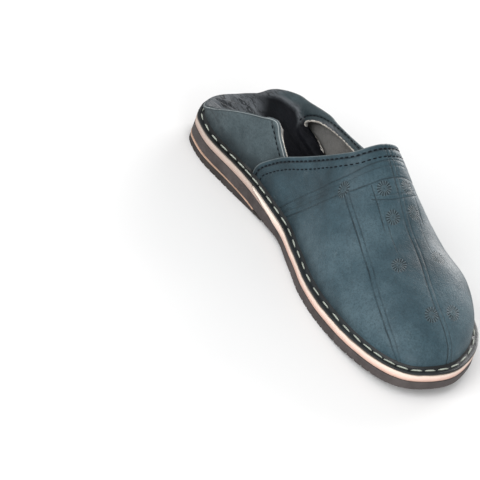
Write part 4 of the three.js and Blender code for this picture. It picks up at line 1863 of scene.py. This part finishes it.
    def topline(self, points: Points) -> Points:
        """The distance from the topline: the near crest, and the far sheet's free edge.

        Args:
            points: places on the sheet.

        Returns:
            The distance at each place.
        """
        away = np.full(points.shape[:2], AWAY)
        near = np.flatnonzero(self.place < self.near_topline)
        far = np.flatnonzero(self.place > self.far_topline)
        sides = (
            (near, points[self.crest, self.place < self.near_crest], range(self.crest + 1)),
            (far, points[-1, far], range(self.crest, len(points))),
        )
        for columns, line, rows in sides:
            for row in rows:
                gaps = points[row, columns][:, None] - line[None]
                away[row, columns] = np.sqrt((gaps**2).sum(-1)).min(axis=1)
        away[self.crest + 1:, near] = 0.0
        return away

    def relief(self, base: Points, folded: Points, rolled: Points, foot: Points, away: Points) -> Points:
        """How far folds, hem and soft waves lift the leather.

        Args:
            base: places on the sheet.
            folded: how far past the fold each place lies, from 0 to 1.
            rolled: how far on the far roll, from 0 to 1.
            foot: the height over the wall's foot.
            away: the distance from the topline.

        Returns:
            The lift of each place.
        """
        x = base[..., 0]
        beside = self.roll_line(x) - base[..., 1]
        hem = 0.35 * smooth((3.0 - away) / 0.8) - 0.45 * np.exp(-(((away - self.row_place) / 0.7) ** 2))
        lift = self.wrinkles(base) * folded * (1 - 0.8 * rolled) + 0.25 * ripple(base, 22, 5.3)
        sunk = smooth(beside / 2.4) * np.exp(-((beside / 10) ** 2)) * smooth((x - 18) / 12)
        sunk = self.sink * sunk * self.past(base, self.wall_rows, 6.0)
        return (lift - sunk) * smooth((foot - 2) / 6) + hem

    def build(self) -> list[Piece]:
        """Makes the leather, its lining, its cut edges and the stitches along its topline.

        Returns:
            The pieces.
        """
        base = self.sheet()
        normal = -facing(base)
        folded = self.past(base, self.fold_end - 9, 8.0) * np.ones(self.columns)
        foot = base[..., 2] - LAST.top(base[..., 0]) - GAP
        foot = foot + self.clear_of_foot * self.past(base, self.wall_rows, 6.0)
        well_shade, rolled = self.trodden(base, folded)
        away = self.topline(base)
        lift = self.relief(base, folded, rolled, foot, away)
        points = base + normal * lift[..., None]
        shell = Bench.sheet("quarter", points)
        front = smooth((self.near_front - self.place) / 2.5)
        Bench.mark(shell, "flap", folded * (1 - rolled) * (1 - front))
        # The hollow's painted shade, over a darker dye, and its duller shine.
        Bench.mark(shell, "well_shade", well_shade * (1 - rolled) * (1 - front))
        Bench.mark(shell, "inside", front * self.past(base, self.fold_end - 4, 3.0))
        # The near fold's crest joins the rim mark, so that it takes the pale rim tint as a painted highlight.
        corner = np.abs(np.minimum(turn_of(self.heel_middle) - self.turn, 0)) * 40
        crest = np.abs(np.arange(len(base))[:, None] - self.wall_rows - 3.0) * 0.95 + corner
        Bench.mark(shell, "rim", np.minimum(np.maximum(away, 0.95), crest))
        Bench.mark(shell, "foot", foot)
        Bench.thicken(shell, normal, self.leather)
        Bench.hand_over(shell, "upper_leather", QUARTER_LEATHER)
        inside = base + normal * (lift - self.leather - self.slack)[..., None]
        lining = Bench.sheet("quarter_lining", inside[::2, ::2])
        Bench.thicken(lining, normal[::2, ::2], self.lining)
        Bench.hand_over(lining, "insole_leather", LINING)
        return [shell, lining, self.cut_edge(points, normal), self.sew(shell, points, away)]

    def cut_edge(self, points: Points, normal: Points) -> Piece:
        """The pale, rough cut edge that shows round the far topline and behind the near corner.

        Args:
            points: places on the leather.
            normal: its normals.

        Returns:
            The edge.
        """
        behind, front = self.near_cut
        far = np.flatnonzero(self.place > self.far_cut)
        near = np.flatnonzero((self.place < front) & (self.place > behind))
        runs = [
            ("far_cut_edge", points[-1, far] - normal[-1, far] * 0.75, 0.85),
            ("near_cut_edge", points[self.fold_end, near] - normal[self.fold_end, near] * 0.1, 0.5),
        ]
        made = []
        for name, line, radius in runs:
            run = run_along(line)[-1]
            made.append(tube(name, resample(line, np.linspace(0, run, int(run / 0.5))), radius, 0.25))
        edge = Bench.join("quarter_cut_edge", made)
        return Bench.hand_over(edge, "insole_leather", RAW_EDGE)

    def hem_line(self, points: Points, away: Points, columns: Points, rows: Sequence[int]) -> Points:
        """The line of the stitches in the hem.

        Args:
            points: places on the leather.
            away: the distance from the topline.
            columns: the columns that the line crosses.
            rows: the rows in their order from the topline.

        Returns:
            The first place of each column that lies far enough from the topline, eased.
        """
        line = []
        for j in columns:
            hit = [i for i in rows if away[i, j] >= self.row_place]
            if hit:
                line.append(points[hit[0], j])
        return self.ease(np.array(line))

    def sew(self, shell: Piece, points: Points, away: Points) -> Piece:
        """The dark stitches inside the hem of the topline.

        Args:
            shell: the leather.
            points: rows and columns of its places.
            away: the distance from the topline.

        Returns:
            The stitches.
        """
        near = np.flatnonzero((self.place < self.near_topline) & (away[self.crest] < self.row_place))
        far = np.flatnonzero(self.place > self.far_stitches)
        lines = (
            self.hem_line(points, away, near, range(self.crest, 0, -1)),
            self.hem_line(points, away, far, range(len(points) - 1, self.crest, -1)),
        )
        rows = [self.seam.follow("topline", shell, line, 0.0, 0.8) for line in lines]
        return Bench.hand_over(Bench.join("topline_stitches", rows), "upper_leather", DARK_THREAD)

    @staticmethod
    def ease(line: Points, rounds: int = 6) -> Points:
        """Smooths a line of points, its ends kept.

        Args:
            line: the points.
            rounds: how many times.

        Returns:
            The new points.
        """
        for _ in range(rounds):
            line = np.vstack([line[:1], (line[:-2] + line[1:-1] * 2 + line[2:]) / 4, line[-1:]])
        return line


@dataclass
class TurnedEdge:
    """The upper's edge turned out over the sole, with its crease and its hand-sewn stitches.

    The section's rows are inset and height, the pitches' rows the distance sewn and the pitch there.
    """

    steps: int = 720
    section: Rows = (
        (0.45, 0.0), (0.22, 0.25), (0.15, 0.6), (0.24, 0.95), (0.6, 1.18), (1.3, 1.2), (2.2, 1.02),
        (3.0, 0.96), (3.7, 1.08), (4.25, 1.4), (4.65, 1.85), (4.92, 2.35), (5.1, 2.75),
        (5.5, 2.9), (5.7, 2.4), (5.7, 0.6), (5.4, 0.0),
    )
    inset: float = 3.3
    seam: Seam = Seam(10.5, 7.6, 0.95, 0.34, 0.2, 14)
    pitches: Rows = (
        (0, 11), (35, 12.4), (65, 11), (95, 8), (125, 9.6), (175, 11.3), (205, 13), (240, 11.2),
        (275, 8.3), (310, 9.3), (345, 11.4), (420, 11.5), (520, 10.5), (645, 11),
    )
    first_stitch: float = 35.1
    lap: float = 1.5
    lap_end: float = 85.0
    crease: float = 1.1
    sideways: float = 0.35

    def build(self) -> list[Piece]:
        """Makes the edge and the stitches in its crease.

        Returns:
            The pieces.
        """
        turn = np.linspace(math.pi, -math.pi, self.steps + 1)
        x = LAST.rim(turn)[:, 0]
        lap = self.lap * smooth((x - 76) / 14) * (1 - smooth((x - self.lap_end) / 1.5))
        rings = []
        for inset, height in self.section:
            plan = LAST.inset(turn, inset + lap * smooth((inset - 3) / 1.5))
            rings.append(np.column_stack([plan, LAST.seat(plan[:, 0]) + height]))
        rings.append(rings[0])
        points = np.stack(rings)
        heights = np.array([height for _, height in self.section] + [0.0])
        points[..., 2] += 0.1 * ripple(points, 9, 2.2) * smooth(heights)[:, None]
        edge = Bench.sheet("turned_edge", points)
        Bench.weld(edge)
        Bench.soften(edge, 60)
        Bench.hand_over(edge, "welt_leather", EDGE_LEATHER, "welt")
        return [edge, self.sew()]

    def sew(self) -> Piece:
        """The pale stitches, longer on the straight runs and shorter round the waist and toe.

        Returns:
            The stitches.
        """
        turn = np.linspace(0, 2 * math.pi, 2401)
        plan = LAST.inset(np.where(turn > math.pi, turn - 2 * math.pi, turn), self.inset)
        line = np.column_stack([plan, LAST.seat(plan[:, 0]) + self.crease])
        run = run_along(line)
        total = run[-1]
        pitch = Column(*zip(*self.pitches))
        at = [self.first_stitch]
        while at[-1] + pitch(at[-1]) < total + self.first_stitch - 6:
            at.append(at[-1] + float(pitch(at[-1] % total)))
        at = np.array(at) % total
        places = resample(line, at)
        ahead = resample(line, (at + 0.6) % total) - resample(line, (at - 0.6) % total)
        over_join = np.linalg.norm(ahead, axis=1, keepdims=True) > 5
        ahead = np.where(over_join, np.roll(ahead, 1, axis=0), ahead)
        out = np.tile([0.0, 0.0, 1.0], (len(at), 1))
        out[:, :2] = -LAST.inward(np.interp(at, run, turn)) * self.sideways
        row = self.seam.sew("welt_stitches", places, ahead, out, 0.04)
        return Bench.hand_over(row, "welt_leather", WELT_THREAD)


@dataclass(frozen=True)
class Layer:
    """A layer of the sole. Its side is its section from top to bottom.

    The side's pairs are the inset, and the share of the thickness from the top. Top and under are
    heights at an x, until is where it ends, field is which ribs are cut into its underside, and
    bulge is how unevenly its side has been ground.
    """

    name: str
    node: str
    slot: str
    finish: Finish
    side: Rows
    top: Callable
    under: Callable
    until: float = LENGTH
    field: int | None = None
    bulge: float = 0.0


LAYERS = (
    Layer("insole_sheet", "insole", "insole_leather", INSOLE,
          ((9.4, 0.0), (9.0, 0.15), (8.8, 0.45), (8.8, 1.0)),
          LAST.insole_top, LAST.seat),
    Layer("midsole_leather", "midsole", "midsole_leather", SOLE_EDGE,
          ((0.35, 0.0), (0.1, 0.06), (0.0, 0.16), (-0.02, 0.5), (0.0, 0.86), (0.1, 0.95), (0.3, 1.0)),
          LAST.top, LAST.midsole_under, bulge=0.12),
    Layer("outsole_rubber", "outsole", "outsole_rubber", OUTSOLE_RUBBER,
          ((0.25, 0.0), (0.0, 0.05), (-0.1, 0.12), (-0.22, 0.5), (-0.36, 0.88), (-0.3, 0.95), (-0.1, 1.0)),
          LAST.outsole_top, LAST.outsole_under, field=1, bulge=0.12),
    Layer("heel_layer", "heel_leather", "heel_leather", HEEL_LEATHER,
          ((0.0, 0.0), (-0.45, 0.2), (-0.6, 0.5), (-0.5, 0.8), (0.0, 1.0)),
          LAST.leather_top, LAST.leather_under, LAST.leather_end),
    Layer("heel_rubber", "heel_piece", "heel_rubber", HEEL_RUBBER,
          ((0.1, 0.0), (-0.2, 0.1), (-0.32, 0.25), (-0.45, 0.6), (-0.55, 0.88), (-0.45, 0.96), (-0.25, 1.0)),
          LAST.heel_piece_top, LAST.tread, LAST.heel_end, 0, 0.1),
)


@dataclass
class Sole:
    """The layers under the upper: insole, midsole, outsole, heel leather and heel piece."""

    across: int = 14
    stations: int = 300
    rib_pitch: float = 6.5
    rib_groove: float = 2.0
    rib_depth: float = 0.8
    rib_slope: float = 0.3
    rib_fields: Rows = ((14, 88), (162, 268))
    strip_tip: float = 94.5
    strip_proud: float = 0.9
    strip_fade: float = 150.0

    def groove(self, x: Points, field: int | None) -> Points:
        """How deep the tread is cut.

        Args:
            x: one x or more.
            field: which field of ribs, or none.

        Returns:
            The depth at each x.
        """
        if field is None:
            return np.zeros_like(x)
        start, stop = self.rib_fields[field]
        count = math.floor((stop - start) / self.rib_pitch)
        index = np.floor((x - start) / self.rib_pitch)
        into = x - start - index * self.rib_pitch
        cut = np.clip(np.minimum(into, self.rib_groove - into) / (self.rib_groove * self.rib_slope), 0, 1)
        within = (index >= 0) & (index < count) & (into < self.rib_groove)
        return np.where(within, cut * self.rib_depth, 0.0)

    def turns(self, until: float, field: int | None) -> Points:
        """The turns of the stations, with the grooves' corners among them.

        Args:
            until: the x of the last station.
            field: which field of ribs, or none.

        Returns:
            The turns, from the heel on.
        """
        found = list(np.linspace(0, math.acos(1 - 2 * min(until, LENGTH) / LENGTH), self.stations))
        if field is not None:
            start, stop = self.rib_fields[field]
            for k in range(math.floor((stop - start) / self.rib_pitch)):
                for share in (0, self.rib_slope, 1 - self.rib_slope, 1):
                    x = start + k * self.rib_pitch + share * self.rib_groove
                    found.append(math.acos(1 - 2 * x / LENGTH))
        return np.array(sorted(found))

    def layer(self, kind: Layer) -> Piece:
        """Makes one layer of the sole.

        Args:
            kind: which layer.

        Returns:
            The layer as one closed body.
        """
        turn = self.turns(kind.until, kind.field)
        near, far, floor, roof = [], [], [], []
        for sign, profile in ((1, near), (-1, far)):
            for inset, share in kind.side:
                beside = np.column_stack([LAST.rim(sign * turn), np.full(len(turn), share * 9)])
                plan = LAST.inset(sign * turn, inset + kind.bulge * ripple(beside, 17, 6.1))
                x = plan[:, 0]
                low = kind.under(x) + self.groove(x, kind.field)
                profile.append(np.column_stack([plan, kind.top(x) + (low - kind.top(x)) * share]))
        for share in np.linspace(0, 1, self.across + 2)[1:-1]:
            for strip, height, end in ((floor, kind.under, -1), (roof, kind.top, 0)):
                plan = near[end] * (1 - share) + far[end] * share
                x = plan[:, 0]
                plan[:, 2] = height(x) + (self.groove(x, kind.field) if end == -1 else 0)
                strip.append(plan)
        piece = Bench.sheet(kind.name, np.stack(near + floor + far[::-1] + roof[::-1] + [near[0]]))
        if kind.until < LENGTH:
            self.cap(piece)
        Bench.weld(piece)
        Bench.soften(piece, 38)
        return piece

    @staticmethod
    def cap(piece: Piece) -> None:
        """Closes the open front end of a layer.

        Args:
            piece: the layer.
        """
        Bench.weld(piece, turn_out=False)
        with Bench.editing(piece):
            bpy.ops.mesh.select_all(action="DESELECT")
            bpy.ops.mesh.select_mode(type="EDGE")
            bpy.ops.mesh.select_non_manifold()
            bpy.ops.mesh.fill()

    def build(self) -> list[Piece]:
        """Makes the layers from the insole down.

        Returns:
            The pieces.
        """
        made = []
        for kind in LAYERS:
            piece = self.layer(kind)
            if kind.node == "midsole":
                self.tuck(piece)
            made.append(Bench.hand_over(piece, kind.slot, kind.finish, kind.node))
        return made

    def tuck(self, piece: Piece) -> None:
        """Tucks the midsole's heel strip under the forepart's rounded tip.

        Args:
            piece: the midsole.
        """
        place = Bench.read(piece) / MM + ORIGIN
        x = place[:, 0].copy()
        band = 1 - (LAST.top(x) - place[:, 2]) / LAST.midsole
        scarf = (band - 1) * LAST.midsole + self.scarf_line(x)
        proud = self.strip_proud * smooth(scarf / self.strip_proud)
        proud = proud * smooth((self.strip_fade - x) / 35) * smooth((x - 90) / 2)
        turn = np.sign(-place[:, 1]) * np.arccos(np.clip(1 - 2 * x / LENGTH, -1, 1))
        at_side = np.abs(place[:, 1]) > 20
        place[:, :2] -= LAST.inward(turn) * (proud * at_side)[:, None]
        piece.data.vertices.foreach_set("co", to_frame(place).ravel())
        Bench.mark(piece, "band", band)
        Bench.mark(piece, "scarf", scarf)
        Bench.mark(piece, "strip", smooth((148 - place[:, 0]) / 40))

    def scarf_line(self, x: Points) -> Points:
        """How far down the side the forepart's strip reaches, from its rounded tip forward."""
        tip = np.sqrt(np.clip((x - self.strip_tip) / 6, 0, 1)) * 2.6
        return np.where(x < self.strip_tip, -1.0, tip + 3.2 * smooth((x - 98) / 38) - 0.15)


@dataclass(frozen=True)
class Softbox:
    """A soft square light: where it stands, its size and its power in watts."""

    name: str
    place: tuple[float, float, float]
    size: float
    power: float


@dataclass
class Studio:
    """The pale floor, the soft lights and the camera."""

    azimuth: float = 48.473
    elevation: float = 34.024
    roll: float = 18.907
    distance: float = 1177.033
    shift_right: float = -66.528
    shift_up: float = -3.149
    target: tuple[float, float, float] = (156.75, 0.0, 20.0)
    lens: float = 139.851
    lights: tuple[Softbox, ...] = (
        Softbox("left", (0.15, -1.15, 0.8), 1.0, 14.0),
        Softbox("front", (1.25, -0.45, 0.5), 0.8, 9.0),
        Softbox("rim", (-0.6, 1.2, 0.34), 0.8, 18.0),
        Softbox("top", (-0.1, -0.2, 1.5), 1.1, 3.5),
    )

    def camera(self) -> None:
        """Puts the camera at the photograph's angle to the shoe."""
        a, e, r = (math.radians(v) for v in (self.azimuth, self.elevation, self.roll))
        back = np.array([math.sin(a) * math.cos(e), -math.cos(a) * math.cos(e), math.sin(e)])
        right = np.array([math.cos(a), math.sin(a), 0.0])
        up = np.cross(back, right)
        across = math.cos(r) * right + math.sin(r) * up
        upright = math.cos(r) * up - math.sin(r) * right
        place = np.array(self.target) + back * self.distance
        place = place + across * self.shift_right + upright * self.shift_up
        bpy.ops.object.camera_add()
        camera = bpy.context.active_object
        camera.name = "camera"
        turned = Matrix((across, upright, back)).transposed().to_4x4()
        camera.matrix_world = Matrix.Translation(Vector(to_frame(place))) @ turned
        camera.data.sensor_width = 36.0
        camera.data.lens = self.lens
        camera.data.clip_start = 0.01
        bpy.context.scene.camera = camera

    def floor(self) -> None:
        """A wide, pale, matte floor."""
        bpy.ops.object.select_all(action="DESELECT")
        bpy.ops.mesh.primitive_plane_add(size=30)
        floor = bpy.context.active_object
        floor.name = "floor"
        material = bpy.data.materials.new("pale floor")
        material.use_nodes = True
        shader = material.node_tree.nodes["Principled BSDF"]
        shader.inputs["Base Color"].default_value = (0.77, 0.77, 0.77, 1)
        shader.inputs["Roughness"].default_value = 0.9
        shader.inputs["Specular IOR Level"].default_value = 0.1
        floor.data.materials.append(material)

    def light(self) -> None:
        """Large soft lights and an even white surround."""
        for box in self.lights:
            bpy.ops.object.light_add(type="AREA", location=box.place)
            lamp = bpy.context.active_object
            lamp.name = box.name
            lamp.data.energy = box.power
            lamp.data.size = box.size
            lamp.rotation_euler = Vector(box.place).to_track_quat("Z", "Y").to_euler()
        world = bpy.data.worlds.new("surround")
        world.use_nodes = True
        world.node_tree.nodes["Background"].inputs[0].default_value = (1, 1, 1, 1)
        world.node_tree.nodes["Background"].inputs[1].default_value = 0.56
        bpy.context.scene.world = world
        bpy.context.scene.view_settings.view_transform = "Standard"

    def build(self) -> None:
        """Sets up camera, floor and lights."""
        self.camera()
        self.floor()
        self.light()


def main() -> None:
    """Builds the slipper piece by piece, and the studio round it."""
    logging.basicConfig(level=logging.INFO, format="%(name)s %(message)s")
    Studio().build()
    for maker in (Sole(), TurnedEdge(), Quarter(), Vamp()):
        for piece in maker.build():
            log.info("made %s", piece.name)


if __name__ == "__main__":
    main()
